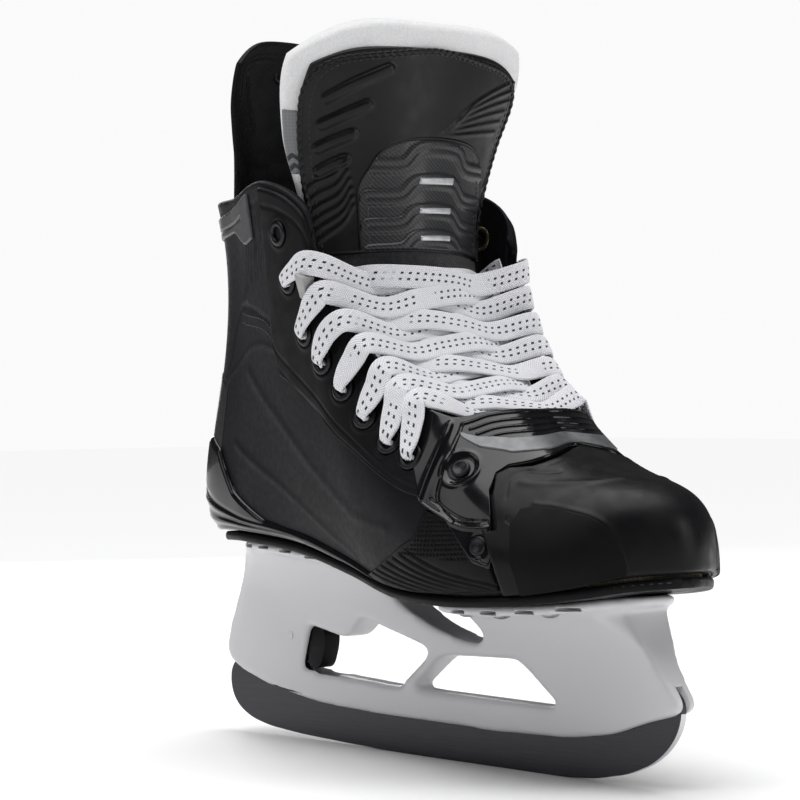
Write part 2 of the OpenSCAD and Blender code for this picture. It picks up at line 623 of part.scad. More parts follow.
runner_side = [[-20, 0], [-56, 0.8], [-90, 2], [-112, 3.6], [-125, 6], [-134, 10], [-139, 15], [-141, 21],
    [-140.4, 27], [-137, 31], [-126, 32], [-108, 30], [-97, 29], [-94, 29.5], [-90, 33], [-86, 33],
    [-84, 28],
    [-75, 25], [-40, 23.6], [40, 23], [80, 23.7], [104, 27.4], [122, 33], [128, 37], [134, 37.5],
    [137.4, 34],
    [138.2, 29], [136, 22], [131, 15.5], [123, 9.5], [110, 4.4], [92, 1], [75, 0]];
slot_side = [[-150, 10], [-150, 31], [-137, 34.2], [-126, 34.6], [-108, 32.6], [-98, 36], [-82, 36],
    [-80, 28.6],
    [-60, 26], [-40, 25.2], [40, 24.6], [80, 25.3], [104, 29], [121, 34.6], [127, 38.8], [137, 39.4],
    [141, 37],
    [150, 36], [150, 10]];
module runner() {
    color("#4b4c50") side_cut(runner_side, runner_t / 2);
}

outsole();
insole_board();
footbed();
quarter_lateral();
quarter_medial();
toe_box();
toe_cap();
toe_bridge();
bridge_rivets();
vent_panel_lateral();
vent_panel_medial();
heel_counter();
heel_strip();
collar_panels();
facing_lateral();
facing_medial();
eyelets_lateral();
eyelets_medial();
lace_lock_lateral();
lace_lock_medial();
liner_lateral();
liner_medial();
ankle_pads();
collar_pad();
tongue_lower();
lace();
aglets();
guard_base();
tendon_guard();
guard_grommet();
tongue_felt();
tongue_cover();
tongue_insert();
tongue_bars();
tongue_label();
holder();
rivets_rear();
rivets_front();
trigger();
trigger_pin();
trigger_spring();
runner();
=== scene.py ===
"""Ice hockey skate, right foot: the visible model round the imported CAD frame."""
import math

import bpy
import numpy as np
from mathutils import Matrix, Vector


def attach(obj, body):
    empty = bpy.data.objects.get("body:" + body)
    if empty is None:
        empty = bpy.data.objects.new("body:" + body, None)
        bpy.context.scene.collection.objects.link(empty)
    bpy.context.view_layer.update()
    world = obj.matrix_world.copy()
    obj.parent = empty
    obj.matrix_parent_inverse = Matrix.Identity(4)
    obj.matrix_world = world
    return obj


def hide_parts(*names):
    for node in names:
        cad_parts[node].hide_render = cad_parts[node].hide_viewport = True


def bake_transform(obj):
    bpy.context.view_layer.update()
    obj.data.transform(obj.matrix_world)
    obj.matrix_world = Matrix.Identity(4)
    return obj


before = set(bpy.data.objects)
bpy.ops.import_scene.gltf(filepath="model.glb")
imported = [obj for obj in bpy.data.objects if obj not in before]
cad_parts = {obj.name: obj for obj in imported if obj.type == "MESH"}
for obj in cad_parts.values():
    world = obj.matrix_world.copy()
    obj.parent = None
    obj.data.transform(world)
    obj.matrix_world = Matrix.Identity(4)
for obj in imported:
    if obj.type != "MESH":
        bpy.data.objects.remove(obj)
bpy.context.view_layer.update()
MM = 0.001
FLIP = np.array([1, -1, 1])

# ---- camera ----

camera_data = bpy.data.cameras.new("camera")
camera_data.sensor_width = 36
camera_data.lens = 123.5
camera_data.clip_end = 50
camera = bpy.data.objects.new("camera", camera_data)
bpy.context.scene.collection.objects.link(camera)
azimuth, elevation, roll = math.radians(50.1), math.radians(0.06), math.radians(-0.47)
camera.location = (0.8471, -0.7280, 0.1470)
camera.rotation_euler = (
    Matrix.Rotation(azimuth, 3, "Z")
    @ Matrix.Rotation(math.pi / 2 - elevation, 3, "X")
    @ Matrix.Rotation(roll, 3, "Z")
).to_euler()
bpy.context.scene.camera = camera

# ---- the CAD's surfaces, in millimetres ----

# Ribs from heel to toe, each with its four Bezier handles from the sole to the boot's edge
RIBS = np.array([
    [[-124, 0, 88.5], [-146, 0, 107], [-98, 0, 164], [-119, 0, 231]],
    [[-114, 22, 89.5], [-134, 34, 106], [-88.5, 25, 165], [-110, 29, 231]],
    [[-88, 32, 90], [-90, 43, 107], [-73, 33, 164], [-80, 44, 231]],
    [[-48, 34, 86.5], [-46, 48, 110], [-44, 45, 166], [-44, 57, 235]],
    [[-12, 37, 79.5], [-8, 54, 102], [-18, 50, 156], [-15, 57, 223]],
    [[24, 44, 72.5], [22, 58, 92], [2, 52, 140], [-8, 52, 193]],
    [[58, 48, 71], [58, 60, 90], [40, 54, 108], [20, 42, 158]],
    [[90, 46, 72.5], [92, 56, 90], [76, 49, 104], [47, 37, 141]],
    [[116, 37, 75.5], [119, 44, 99], [97, 36, 101], [57, 25, 142]],
    [[131, 22, 78.5], [134, 25, 124], [110, 22, 97], [60, 12, 143]],
    [[140, 0, 79.5], [148, 0, 130], [94, 0, 101], [61, 0, 143]]], float)
# Inner side's half widths as shares of the outer side's: at the sole, and above it
ARCH = np.array([1, 1, 0.95, 0.82, 0.8, 0.84, 0.9, 0.96, 0.97, 0.97, 1])
INNER = np.array([1, 1, 1, 0.97, 0.95, 0.96, 0.93, 0.87, 0.82, 0.85, 1])
# Tongue's rows: [forward, up, half width, sweep back at the edges, shift to the inner side]
TONGUE = np.array([
    [66, 126, 25, 4, 0], [50, 135, 28, 5, 0], [34, 145, 30, 6, 0], [18, 157, 33, 8, 0], [5, 172, 36, 11, 0],
    [-4, 188, 40, 15, 0], [-8, 206, 44, 19, 0], [-9, 226, 48, 20, 0], [-8, 250, 57, 21, 1],
    [-5, 276, 63, 17, 3], [-2, 300, 57, 12, 4.5]], float)
# Guard's rows: [forward, up, half width, sweep forward at the edges]
GUARD = np.array([
    [-114, 233, 27, 13], [-112, 252, 28.5, 13], [-108, 272, 30, 9],
    [-104, 289, 28, 6], [-101, 302, 23, 4]], float)


def handles(side):
    """Rib handles of one side, and two mirrored ribs past each end to carry curves round heel and toe."""
    h = RIBS.copy()
    h[:, :, 1] *= side
    if side > 0:
        h[:, 0, 1] *= ARCH
        h[:, 1, 1] *= 1 + (ARCH - 1) * 0.7
        h[:, 1:, 1] *= INNER[:, None]
    return np.concatenate([h[2:0:-1] * FLIP, h, h[-2:-4:-1] * FLIP])


HANDLES = {-1: handles(-1), 1: handles(1)}


def through(a, b, c, d, u):
    """Smooth curve from b to c, with a and d as the points before and after."""
    return 0.5 * (2 * b + (c - a) * u + (2 * a - 5 * b + 4 * c - d) * u * u + (3 * b - a - 3 * c + d) * u ** 3)


def boot(w, t):
    """Skin of the boot: w counts ribs from the heel, below 0 on the inner side; t runs from sole to edge."""
    w, t = np.broadcast_arrays(np.asarray(w, float), np.asarray(t, float))
    outer = (w >= 0) & (w <= 10)
    s = np.where(w < 0, -w, np.where(w > 10, 20 - w, w))
    i = np.clip(np.floor(s).astype(int), 0, 9)
    u = (s - i)[..., None, None]
    pick = lambda k: np.where(outer[..., None, None], HANDLES[-1][i + k], HANDLES[1][i + k])
    rib = through(pick(1), pick(2), pick(3), pick(4), u)
    t = t[..., None]
    m = 1 - t
    return (m ** 3 * rib[..., 0, :] + 3 * m * m * t * rib[..., 1, :]
            + 3 * m * t * t * rib[..., 2, :] + t ** 3 * rib[..., 3, :])


def row(table, v):
    """Row of a table at a place between its rows."""
    n = len(table) - 1
    full = np.concatenate([[2 * table[0] - table[1]], table, [2 * table[n] - table[n - 1]]])
    i = np.clip(np.floor(v).astype(int), 0, n - 1)
    return through(full[i], full[i + 1], full[i + 2], full[i + 3], (v - i)[..., None])


def tongue(a, v):
    """Front of the tongue: a runs from -1 to 1 across it, v up its rows."""
    a, v = np.broadcast_arrays(np.asarray(a, float), np.asarray(v, float))
    here, ahead = row(TONGUE, v), row(TONGUE, v + 0.05)
    run = ahead[..., :2] - here[..., :2]
    run /= np.linalg.norm(run, axis=-1, keepdims=True)
    sweep = here[..., 3] * a * a
    x = here[..., 0] - run[..., 1] * sweep
    y = a * here[..., 2] + here[..., 4]
    return np.stack([x, y, here[..., 1] + run[..., 0] * sweep], -1)


def guard(a, v):
    a, v = np.broadcast_arrays(np.asarray(a, float), np.asarray(v, float))
    here = row(GUARD, v)
    return np.stack([here[..., 0] + here[..., 3] * a * a, -a * here[..., 2], here[..., 1]], -1)


def normal(f, u, v, e=0.01):
    n = np.cross(f(u + e, v) - f(u - e, v), f(u, v + e) - f(u, v - e))
    return n / np.maximum(np.linalg.norm(n, axis=-1, keepdims=True), 1e-9)


def off(f, u, v, d):
    """Points of surface f at depth d along its normal."""
    return f(u, v) + normal(f, u, v) * np.asarray(d, float)[..., None]


# ---- curves, distances and reliefs ----

def curve(points, n):
    """Smooth curve through rows of numbers, n samples a span."""
    p = np.asarray(points, float)
    full = np.concatenate([[2 * p[0] - p[1]], p, [2 * p[-1] - p[-2]]])
    u = np.linspace(0, 1, n, endpoint=False)[:, None]
    out = [through(full[i], full[i + 1], full[i + 2], full[i + 3], u) for i in range(len(p) - 1)]
    return np.concatenate(out + [p[-1:]])


def arc(p):
    """Length along a polyline at each of its points."""
    return np.concatenate([[0], np.cumsum(np.linalg.norm(np.diff(p, axis=0), axis=1))])


def resample(p, step):
    s = arc(p)
    n = max(2, int(round(s[-1] / step)) + 1)
    at = np.linspace(0, s[-1], n)
    return np.stack([np.interp(at, s, p[:, k]) for k in range(p.shape[1])], -1)


def trace(f, places, step=0.4):
    """Polyline on surface f through places (u, v), as rows [x, y, z, u, v] one step apart."""
    q = curve(places, 24)
    return resample(np.concatenate([f(q[:, 0], q[:, 1]), q], 1), step)


def near(p, line, reach=6):
    """Distance from each point to a finely sampled line, up to reach."""
    shape = p.shape[:-1]
    q = p.reshape(-1, 3)
    line = np.asarray(line)[:, :3]
    out = np.full(len(q), float(reach))
    close = np.where(((q > line.min(0) - reach) & (q < line.max(0) + reach)).all(1))[0]
    for k in range(0, len(close), 4000):
        part = close[k:k + 4000]
        best = np.full(len(part), float(reach) ** 2)
        for j in range(0, len(line), 200):
            gap = q[part][:, None] - line[None, j:j + 200]
            best = np.minimum(best, np.einsum("ijk,ijk->ij", gap, gap).min(1))
        out[part] = np.sqrt(best)
    return out.reshape(shape)


def bump(p, line, width, height):
    """Rounded ridge along a line, or a groove where height is negative."""
    return height * np.exp(-(near(p, line) / width) ** 2)


def ridges(p, rows, mirrors):
    """Ridges on the boot, once for each mirror of their ribs; rows are (places, width, height)."""
    h = 0
    for mirror in mirrors:
        for places, width, height in rows:
            h = h + bump(p, trace(boot, [(mirror(w), t) for w, t in places]), width, height)
    return h


def smooth(x):
    x = np.clip(x, 0, 1)
    return x * x * (3 - 2 * x)


def rounded(edge, radius):
    """Share of full height at a distance from an edge that is rounded off."""
    return np.sqrt(np.clip(1 - (1 - np.clip(edge / radius, 0, 1)) ** 2, 0, 1))


def steps_at(length, cell):
    """Places from 0 to length: close together at both ends, then one cell apart."""
    ends = [x for x in (0, 0.12, 0.35, 0.7, 1.2) if x < length * 0.2]
    first = ends[-1]
    n = max(2, int(round((length - 2 * first) / cell)))
    middle = np.linspace(first, length - first, n + 1)
    return np.concatenate([ends[:-1], middle, [length - x for x in reversed(ends[:-1])]])


# ---- mesh making ----

def add_mesh(name, verts, faces, uv=None):
    """Object from points in millimetres; faces is a list of rows of equal or mixed length."""
    mesh = bpy.data.meshes.new(name)
    verts = np.asarray(verts, np.float32) * MM
    sizes = np.array([len(f) for f in faces], np.int32)
    flat = np.concatenate([np.asarray(f, np.int32) for f in faces])
    mesh.vertices.add(len(verts))
    mesh.vertices.foreach_set("co", verts.ravel())
    mesh.loops.add(len(flat))
    mesh.loops.foreach_set("vertex_index", flat)
    mesh.polygons.add(len(sizes))
    mesh.polygons.foreach_set("loop_start", np.concatenate([[0], np.cumsum(sizes)[:-1]]).astype(np.int32))
    mesh.polygons.foreach_set("use_smooth", np.ones(len(sizes), bool))
    mesh.update(calc_edges=True)
    if uv is not None:
        layer = mesh.uv_layers.new(name="surf")
        layer.data.foreach_set("uv", np.asarray(uv, np.float32)[flat].ravel() * MM)
    mesh.validate()
    piece = bpy.data.objects.new(name, mesh)
    bpy.context.scene.collection.objects.link(piece)
    return piece


def quads(a, b, c, d):
    return np.stack([a, b, c, d], -1).reshape(-1, 4)


def grid_faces(ids, flip=False):
    q = quads(ids[:-1, :-1], ids[1:, :-1], ids[1:, 1:], ids[:-1, 1:])
    return q[:, ::-1] if flip else q


def zipper(a, b):
    """Triangles between two rows of point numbers that run side by side, joined by share of the way."""
    faces, i, j = [], 0, 0
    while i < len(a) - 1 or j < len(b) - 1:
        if j == len(b) - 1 or (i < len(a) - 1 and (i + 1) / (len(a) - 1) <= (j + 1) / (len(b) - 1)):
            faces.append([a[i], a[i + 1], b[j]])
            i += 1
        else:
            faces.append([a[i], b[j + 1], b[j]])
            j += 1
    return faces


def layer_uv(p):
    """Lengths along both ways of a grid of points."""
    du = np.linalg.norm(np.diff(p, axis=0), axis=-1)
    dv = np.linalg.norm(np.diff(p, axis=1), axis=-1)
    su = np.concatenate([np.zeros((1, p.shape[1])), np.cumsum(du, 0)])
    sv = np.concatenate([np.zeros((p.shape[0], 1)), np.cumsum(dv, 1)], 1)
    return su, sv


def shell(name, f, span, low, high, d0, d1, cell=1.0, rim=1.2, relief=None, coarse=5):
    """Closed layer on surface f from depth d0 out to d1, with rounded edges and a relief on its outside.

    span is the range of u; low and high give the range of v at u; relief(p, u, v) gives millimetres.
    The side that doesn't show is a coarser grid.
    """
    lows = low if callable(low) else (lambda u: np.full(np.shape(u), float(low)))
    highs = high if callable(high) else (lambda u: np.full(np.shape(u), float(high)))
    probe = np.linspace(*span, 200)
    at = lambda share: f(probe, lows(probe) + (highs(probe) - lows(probe)) * share)
    along_u = max((arc(at(share)) for share in (0.1, 0.5, 0.9)), key=lambda s: s[-1])
    us = np.interp(steps_at(along_u[-1], cell), along_u, probe)
    v_len = max(
        np.linalg.norm(np.diff(f(np.full(60, u), np.linspace(lows(u), highs(u), 60)), axis=0), axis=1).sum()
        for u in us[::max(1, len(us) // 12)])
    shares = steps_at(v_len, cell) / v_len
    lo, hi = lows(us)[:, None], highs(us)[:, None]
    u = np.repeat(us[:, None], len(shares), 1)
    v = lo + (hi - lo) * shares[None]
    base, n = f(u, v), normal(f, u, v)
    su, sv = layer_uv(base)
    edge_u = np.minimum(su, su[-1:] - su)
    edge_v = np.minimum(sv, sv[:, -1:] - sv)
    rise = rounded(edge_u, rim) * rounded(edge_v, rim)
    top = d1(base, u, v) if callable(d1) else d1
    bottom = d0(base, u, v) if callable(d0) else np.full(u.shape, float(d0))
    extra = relief(base, u, v) if relief else 0
    depth = bottom + (top - bottom) * rise + extra * rise
    outer = base + n * depth[..., None]
    m, k = depth.shape
    ids = np.arange(m * k).reshape(m, k)
    faces = list(grid_faces(ids))
    # inner side
    ui = np.unique(np.concatenate([np.arange(3, m - 3, coarse), [3, m - 4]]))
    vi = np.unique(np.concatenate([np.arange(3, k - 3, coarse), [3, k - 4]]))
    pick = np.ix_(ui, vi)
    inner = base[pick] + n[pick] * bottom[pick][..., None]
    ids2 = m * k + np.arange(len(ui) * len(vi)).reshape(len(ui), len(vi))
    faces += list(grid_faces(ids2, True))
    for a, b in ((ids[:, 0], ids2[:, 0]), (ids[::-1, -1], ids2[::-1, -1]), (ids[0, ::-1], ids2[0, ::-1]),
                 (ids[-1, :], ids2[-1, :])):
        faces += [t[::-1] for t in zipper(list(a), list(b))]
    verts = np.concatenate([outer.reshape(-1, 3), inner.reshape(-1, 3)])
    uv = np.stack([su, sv], -1)
    uv = np.concatenate([uv.reshape(-1, 2), uv[pick].reshape(-1, 2)])
    return add_mesh(name, verts, faces, uv)


def tube(name, points, up, half_w, half_t, sides=12, square=2.0, twist=None):
    """Sweep along points with a rounded section; up gives the thin direction at each point."""
    p = np.asarray(points, float)
    n = len(p)
    run = np.gradient(p, axis=0)
    run /= np.maximum(np.linalg.norm(run, axis=1, keepdims=True), 1e-9)
    up = np.broadcast_to(np.asarray(up, float), p.shape)
    across = np.cross(run, up)
    across /= np.maximum(np.linalg.norm(across, axis=1, keepdims=True), 1e-9)
    lift = np.cross(across, run)
    a = 2 * math.pi * np.arange(sides) / sides
    ca, sa = np.cos(a), np.sin(a)
    ex = np.sign(ca) * np.abs(ca) ** (2 / square)
    ez = np.sign(sa) * np.abs(sa) ** (2 / square)
    hw = np.broadcast_to(np.asarray(half_w, float), (n,))[:, None, None]
    ht = np.broadcast_to(np.asarray(half_t, float), (n,))[:, None, None]
    shape = np.ones((n, sides)) if twist is None else twist(arc(p)[:, None], a[None])
    ring = p[:, None] + across[:, None] * hw * (ex * shape)[..., None]
    ring = ring + lift[:, None] * ht * (ez * shape)[..., None]
    ids = np.arange(n * sides).reshape(n, sides)
    wrap = np.concatenate([ids, ids[:, :1]], 1)
    s = arc(p)
    girth = np.broadcast_to(np.asarray(half_w, float), (n,))[:, None] * ex[None]
    uv = np.stack([np.repeat(s[:, None], sides, 1), girth], -1).reshape(-1, 2)
    verts = np.concatenate([ring.reshape(-1, 3), [p[0], p[-1]]])
    uv = np.concatenate([uv, [[0, 0], [s[-1], 0]]])
    start, end = n * sides, n * sides + 1
    faces = list(grid_faces(wrap, True))
    faces += [[start, wrap[0, j], wrap[0, j + 1]] for j in range(sides)]
    faces += [[end, wrap[-1, j + 1], wrap[-1, j]] for j in range(sides)]
    return add_mesh(name, verts, faces, uv)


def surface_line(f, line, d):
    """Points at depth d over a traced line, and the outward normals there."""
    n = normal(f, line[:, 3], line[:, 4])
    d = np.broadcast_to(np.asarray(d, float), (len(line),))[:, None]
    return line[:, :3] + n * d, n


def merged(name, parts):
    """One mesh from several (verts, faces)."""
    verts, faces, k = [], [], 0
    for v, f in parts:
        verts.append(v)
        faces += [list(np.asarray(q) + k) for q in f]
        k += len(v)
    return add_mesh(name, np.concatenate(verts), faces, np.zeros((k, 2)))


def capsule(a, b, up, r, flat=0.7):
    """Stitch from a to b: verts and faces."""
    run = b - a
    length = np.linalg.norm(run)
    run = run / length
    across = np.cross(run, up)
    across /= np.linalg.norm(across)
    up = np.cross(across, run)
    rings = []
    for x in (-0.98, -0.8, 0, 0.8, 0.98):
        k = math.sqrt(max(0.0, 1 - abs(x) ** 2.5))
        mid = (a + b) / 2 + run * x * length / 2
        for j in range(6):
            t = math.pi * j / 3
            rings.append(mid + across * r * k * math.cos(t) + up * r * flat * k * math.sin(t))
    faces = []
    for i in range(4):
        for j in range(6):
            faces.append([6 * i + j, 6 * i + (j + 1) % 6, 6 * i + 6 + (j + 1) % 6, 6 * i + 6 + j])
    faces.append([5, 4, 3, 2, 1, 0])
    faces.append([24 + j for j in range(6)])
    return np.array(rings), faces


def stitches(name, rows, pitch=3.0, length=2.1, r=0.32):
    """Stitches along several lines; rows holds (surface, traced line, depth)."""
    parts = []
    for f, line, d in rows:
        p, n = surface_line(f, line, d)
        s = arc(p)
        for k in range(int((s[-1] - length) / pitch) + 1):
            at = k * pitch + 0.3
            a, b = (np.array([np.interp(x, s, p[:, c]) for c in range(3)]) for x in (at, at + length))
            up = np.array([np.interp(at + length / 2, s, n[:, c]) for c in range(3)])
            parts.append(capsule(a, b, up, r))
    return merged(name, parts)


def lathe(profile, centre, axis, n=32):
    """Closed ring or disc from [radius, height] pairs round an axis: verts and faces."""
    axis = np.asarray(axis, float) / np.linalg.norm(axis)
    side = np.cross(axis, [0, 0, 1.0] if abs(axis[2]) < 0.9 else [1.0, 0, 0])
    side /= np.linalg.norm(side)
    other = np.cross(axis, side)
    a = 2 * math.pi * np.arange(n) / n
    verts, faces = [], []
    for r, h in profile:
        around = side[None] * np.cos(a)[:, None] + other[None] * np.sin(a)[:, None]
        verts.append(centre + axis * h + around * r)
    verts = np.concatenate(verts)
    k = len(profile)
    ring = profile[0][0] > 0.01 and profile[-1][0] > 0.01
    for i in range(k if ring else k - 1):
        i2 = (i + 1) % k
        for j in range(n):
            j2 = (j + 1) % n
            faces.append([i * n + j, i * n + j2, i2 * n + j2, i2 * n + j])
    return verts, faces


def outlined(points, r, n=5):
    """Outline with each corner rounded."""
    p = np.asarray(points, float)
    out = []
    for a, b, c in zip(np.roll(p, 1, 0), p, np.roll(p, -1, 0)):
        back, fore = a - b, c - b
        lb, lf = np.linalg.norm(back), np.linalg.norm(fore)
        s = b + back / lb * min(r, lb * 0.45)
        e = b + fore / lf * min(r, lf * 0.45)
        for t in np.linspace(0, 1, n):
            out.append((1 - t) ** 2 * s + 2 * t * (1 - t) * b + t * t * e)
    return np.array(out)


def area(points):
    """Signed area of an outline."""
    x, y = points[:, 0], points[:, 1]
    return 0.5 * np.sum(x * np.roll(y, -1) - np.roll(x, -1) * y)


def prism(name, outline, lows, highs, axes="xz"):
    """Solid between two planes across an outline given in x and z, or x and y."""
    o = np.asarray(outline, float)
    if area(o) < 0:
        o = o[::-1]
    n = len(o)
    lows, highs = (np.broadcast_to(np.asarray(q, float), (n,)) for q in (lows, highs))
    if axes == "xz":
        verts = np.concatenate([
            np.stack([o[:, 0], lows, o[:, 1]], -1), np.stack([o[:, 0], highs, o[:, 1]], -1)])
    elif axes == "yz":
        verts = np.concatenate([
            np.stack([lows, o[:, 0], o[:, 1]], -1), np.stack([highs, o[:, 0], o[:, 1]], -1)])
    else:
        verts = np.concatenate([
            np.stack([o[:, 0], o[:, 1], lows], -1), np.stack([o[:, 0], o[:, 1], highs], -1)])
    i = np.arange(n)
    j = (i + 1) % n
    faces = [list(q) for q in quads(i, j, j + n, i + n)] + [list(i[::-1]), list(i + n)]
    if axes == "xz":
        faces = [q[::-1] for q in faces]
    return add_mesh(name, verts, faces)


def apply_all(piece):
    """Puts the result of a piece's modifiers in its mesh."""
    deps = bpy.context.evaluated_depsgraph_get()
    mesh = bpy.data.meshes.new_from_object(piece.evaluated_get(deps))
    old = piece.data
    piece.modifiers.clear()
    piece.data = mesh
    bpy.data.meshes.remove(old)
    return piece


def cut(piece, other, how="DIFFERENCE"):
    """Boolean with another piece, which is used up."""
    m = piece.modifiers.new("cut", "BOOLEAN")
    m.operation = how
    m.solver = "MANIFOLD"
    m.object = other
    apply_all(piece)
    bpy.data.objects.remove(other)
    return piece


def welded(piece):
    """Joins points that lie on one another."""
    m = piece.modifiers.new("weld", "WELD")
    m.merge_threshold = 1e-7
    return apply_all(piece)


def two_sided(name, top, low, uv):
    """Closed plate from two grids of points that share their edges."""
    m, n = top.shape[:2]
    ids = np.arange(m * n).reshape(m, n)
    below = ids + m * n
    for edge in (np.s_[0, :], np.s_[-1, :], np.s_[:, 0], np.s_[:, -1]):
        below[edge] = ids[edge]
    faces = list(grid_faces(ids)) + list(grid_faces(below, True))
    uv = uv.reshape(-1, 2)
    verts = np.concatenate([top.reshape(-1, 3), low.reshape(-1, 3)])
    return welded(add_mesh(name, verts, faces, np.concatenate([uv, uv])))


def remeshed(piece, voxel, smoothing, factor):
    """Piece with its edges and creases rounded off."""
    m = piece.modifiers.new("remesh", "REMESH")
    m.mode = "VOXEL"
    m.voxel_size = voxel * MM
    m.use_smooth_shade = True
    s = piece.modifiers.new("smooth", "SMOOTH")
    s.factor = factor
    s.iterations = smoothing
    return apply_all(piece)


def smooth_shaded(piece, smooth_faces=True):
    for poly in piece.data.polygons:
        poly.use_smooth = smooth_faces
    return piece


def beveled(piece, width, segments=3, angle=35):
    """Piece with its sharp edges rounded."""
    m = piece.modifiers.new("bevel", "BEVEL")
    m.width = width * MM
    m.segments = segments
    m.limit_method = "ANGLE"
    m.angle_limit = math.radians(angle)
    return smooth_shaded(apply_all(piece))


def joined(name, pieces):
    """One object from several, each kept as a closed island."""
    verts, faces, k = [], [], 0
    for piece in pieces:
        me = piece.data
        co = np.empty(len(me.vertices) * 3, np.float32)
        me.vertices.foreach_get("co", co)
        verts.append(co.reshape(-1, 3) / MM)
        faces += [[k + i for i in poly.vertices] for poly in me.polygons]
        k += len(me.vertices)
        bpy.data.objects.remove(piece)
    return add_mesh(name, np.concatenate(verts), faces, np.zeros((k, 2)))


# ---- materials ----

class Nodes:
    """Short way to build a node material."""

    def __init__(self, name, colour, rough, metallic=0.0, coat=0.0, coat_rough=0.05, sheen=0.0, specular=0.5,
                 subsurface=0.0):
        self.mat = bpy.data.materials.new(name)
        self.mat.use_nodes = True
        self.tree = self.mat.node_tree
        self.shader = self.tree.nodes["Principled BSDF"]
        self.set("Base Color", (*colour, 1))
        self.set("Roughness", rough)
        self.set("Metallic", metallic)
        self.set("Coat Weight", coat)
        self.set("Coat Roughness", coat_rough)
        self.set("Sheen Weight", sheen)
        self.set("Specular IOR Level", specular)
        self.set("Subsurface Weight", subsurface)
        self.coords = self.node("ShaderNodeTexCoord").outputs["Object"]
        self.height = None

    def set(self, name, value):
        self.shader.inputs[name].default_value = value

    def node(self, kind, **fields):
        n = self.tree.nodes.new(kind)
        for k, v in fields.items():
            setattr(n, k, v)
        return n

    def link(self, a, b):
        self.tree.links.new(a, b)

    def put(self, socket, value):
        if hasattr(value, "is_output"):
            self.link(value, socket)
        else:
            socket.default_value = value

    def surf(self):
        return self.node("ShaderNodeUVMap", uv_map="surf").outputs["UV"]

    def scaled(self, source, scale, angle=0.0):
        m = self.node("ShaderNodeMapping")
        self.link(source, m.inputs["Vector"])
        m.inputs["Scale"].default_value = scale
        m.inputs["Rotation"].default_value = (0, 0, angle)
        return m.outputs["Vector"]

    def noise(self, scale, detail=3.0, rough=0.5, source=None):
        n = self.node("ShaderNodeTexNoise")
        self.link(source or self.coords, n.inputs["Vector"])
        n.inputs["Scale"].default_value = scale
        n.inputs["Detail"].default_value = detail
        n.inputs["Roughness"].default_value = rough
        return n.outputs["Fac"]

    def cells(self, pitch):
        """Round cells packed in staggered rows over the surface's own lengths."""
        u, v = self.axis(self.surf(), 0), self.axis(self.surf(), 1)
        total = 0.0
        for a in (0, 2 * math.pi / 3, 4 * math.pi / 3):
            k = 2 * math.pi / (pitch * math.cos(math.pi / 6))
            part_u = self.math("MULTIPLY", u, k * math.cos(a))
            part_v = self.math("MULTIPLY", v, k * math.sin(a))
            way = self.math("ADD", part_u, part_v)
            total = self.math("ADD", self.math("COSINE", way), total)
        return self.fit(total, -0.6, 1.6)

    def wave(self, scale, source, direction="X"):
        n = self.node("ShaderNodeTexWave", bands_direction=direction, wave_profile="SIN")
        self.link(source, n.inputs["Vector"])
        n.inputs["Scale"].default_value = scale
        return n.outputs["Fac"]

    def math(self, op, a, b=0.0, c=0.0):
        n = self.node("ShaderNodeMath", operation=op)
        for socket, value in zip(n.inputs, (a, b, c)):
            self.put(socket, value)
        return n.outputs[0]

    def fit(self, x, lo, hi, out_lo=0.0, out_hi=1.0):
        n = self.node("ShaderNodeMapRange", interpolation_type="SMOOTHSTEP")
        for k, value in zip(("Value", "From Min", "From Max", "To Min", "To Max"),
                            (x, lo, hi, out_lo, out_hi)):
            self.put(n.inputs[k], value)
        return n.outputs["Result"]

    def axis(self, source, k):
        n = self.node("ShaderNodeSeparateXYZ")
        self.link(source, n.inputs[0])
        return n.outputs[k]

    def mix(self, share, a, b):
        n = self.node("ShaderNodeMix", data_type="RGBA")
        self.put(n.inputs[0], share)
        for socket, value in ((n.inputs[6], a), (n.inputs[7], b)):
            self.put(socket, value if hasattr(value, "is_output") else (*value, 1))
        return n.outputs[2]

    def colour(self, value):
        self.link(value, self.shader.inputs["Base Color"])

    def roughness(self, value):
        self.link(value, self.shader.inputs["Roughness"])

    def relief(self, height, strength, distance):
        b = self.node("ShaderNodeBump")
        b.inputs["Strength"].default_value = strength
        b.inputs["Distance"].default_value = distance * MM
        self.link(height, b.inputs["Height"])
        if self.height is not None:
            self.link(self.height, b.inputs["Normal"])
        self.height = b.outputs["Normal"]
        self.link(self.height, self.shader.inputs["Normal"])


def worn(m, base, pale, amount=0.35):
    """Colour with slow, faint patches and paler, lightly scuffed edges."""
    patches = m.fit(m.noise(28, 3), 0.2, 0.8)
    tone = m.mix(m.math("MULTIPLY", patches, amount), base, pale)
    edge = m.node("ShaderNodeNewGeometry").outputs["Pointiness"]
    rim = m.math("MULTIPLY", m.fit(edge, 0.52, 0.62), m.fit(m.noise(160, 5), 0.35, 0.65))
    m.colour(m.mix(m.math("MULTIPLY", rim, 0.5), tone, tuple(min(1, 1.8 * c + 0.006) for c in pale)))


def quarter_material():
    m = Nodes("quarter_composite", (0.0075, 0.0077, 0.0098), 0.5, specular=0.12)
    worn(m, (0.0072, 0.0074, 0.0094), (0.0088, 0.009, 0.0113))
    m.roughness(m.fit(m.noise(400, 3), 0.3, 0.7, 0.47, 0.55))
    m.relief(m.wave(210, m.scaled(m.surf(), (1, 1, 1), 0.8)), 0.25, 0.05)
    m.relief(m.noise(2300, 4, 0.7), 0.35, 0.08)
    return m.mat


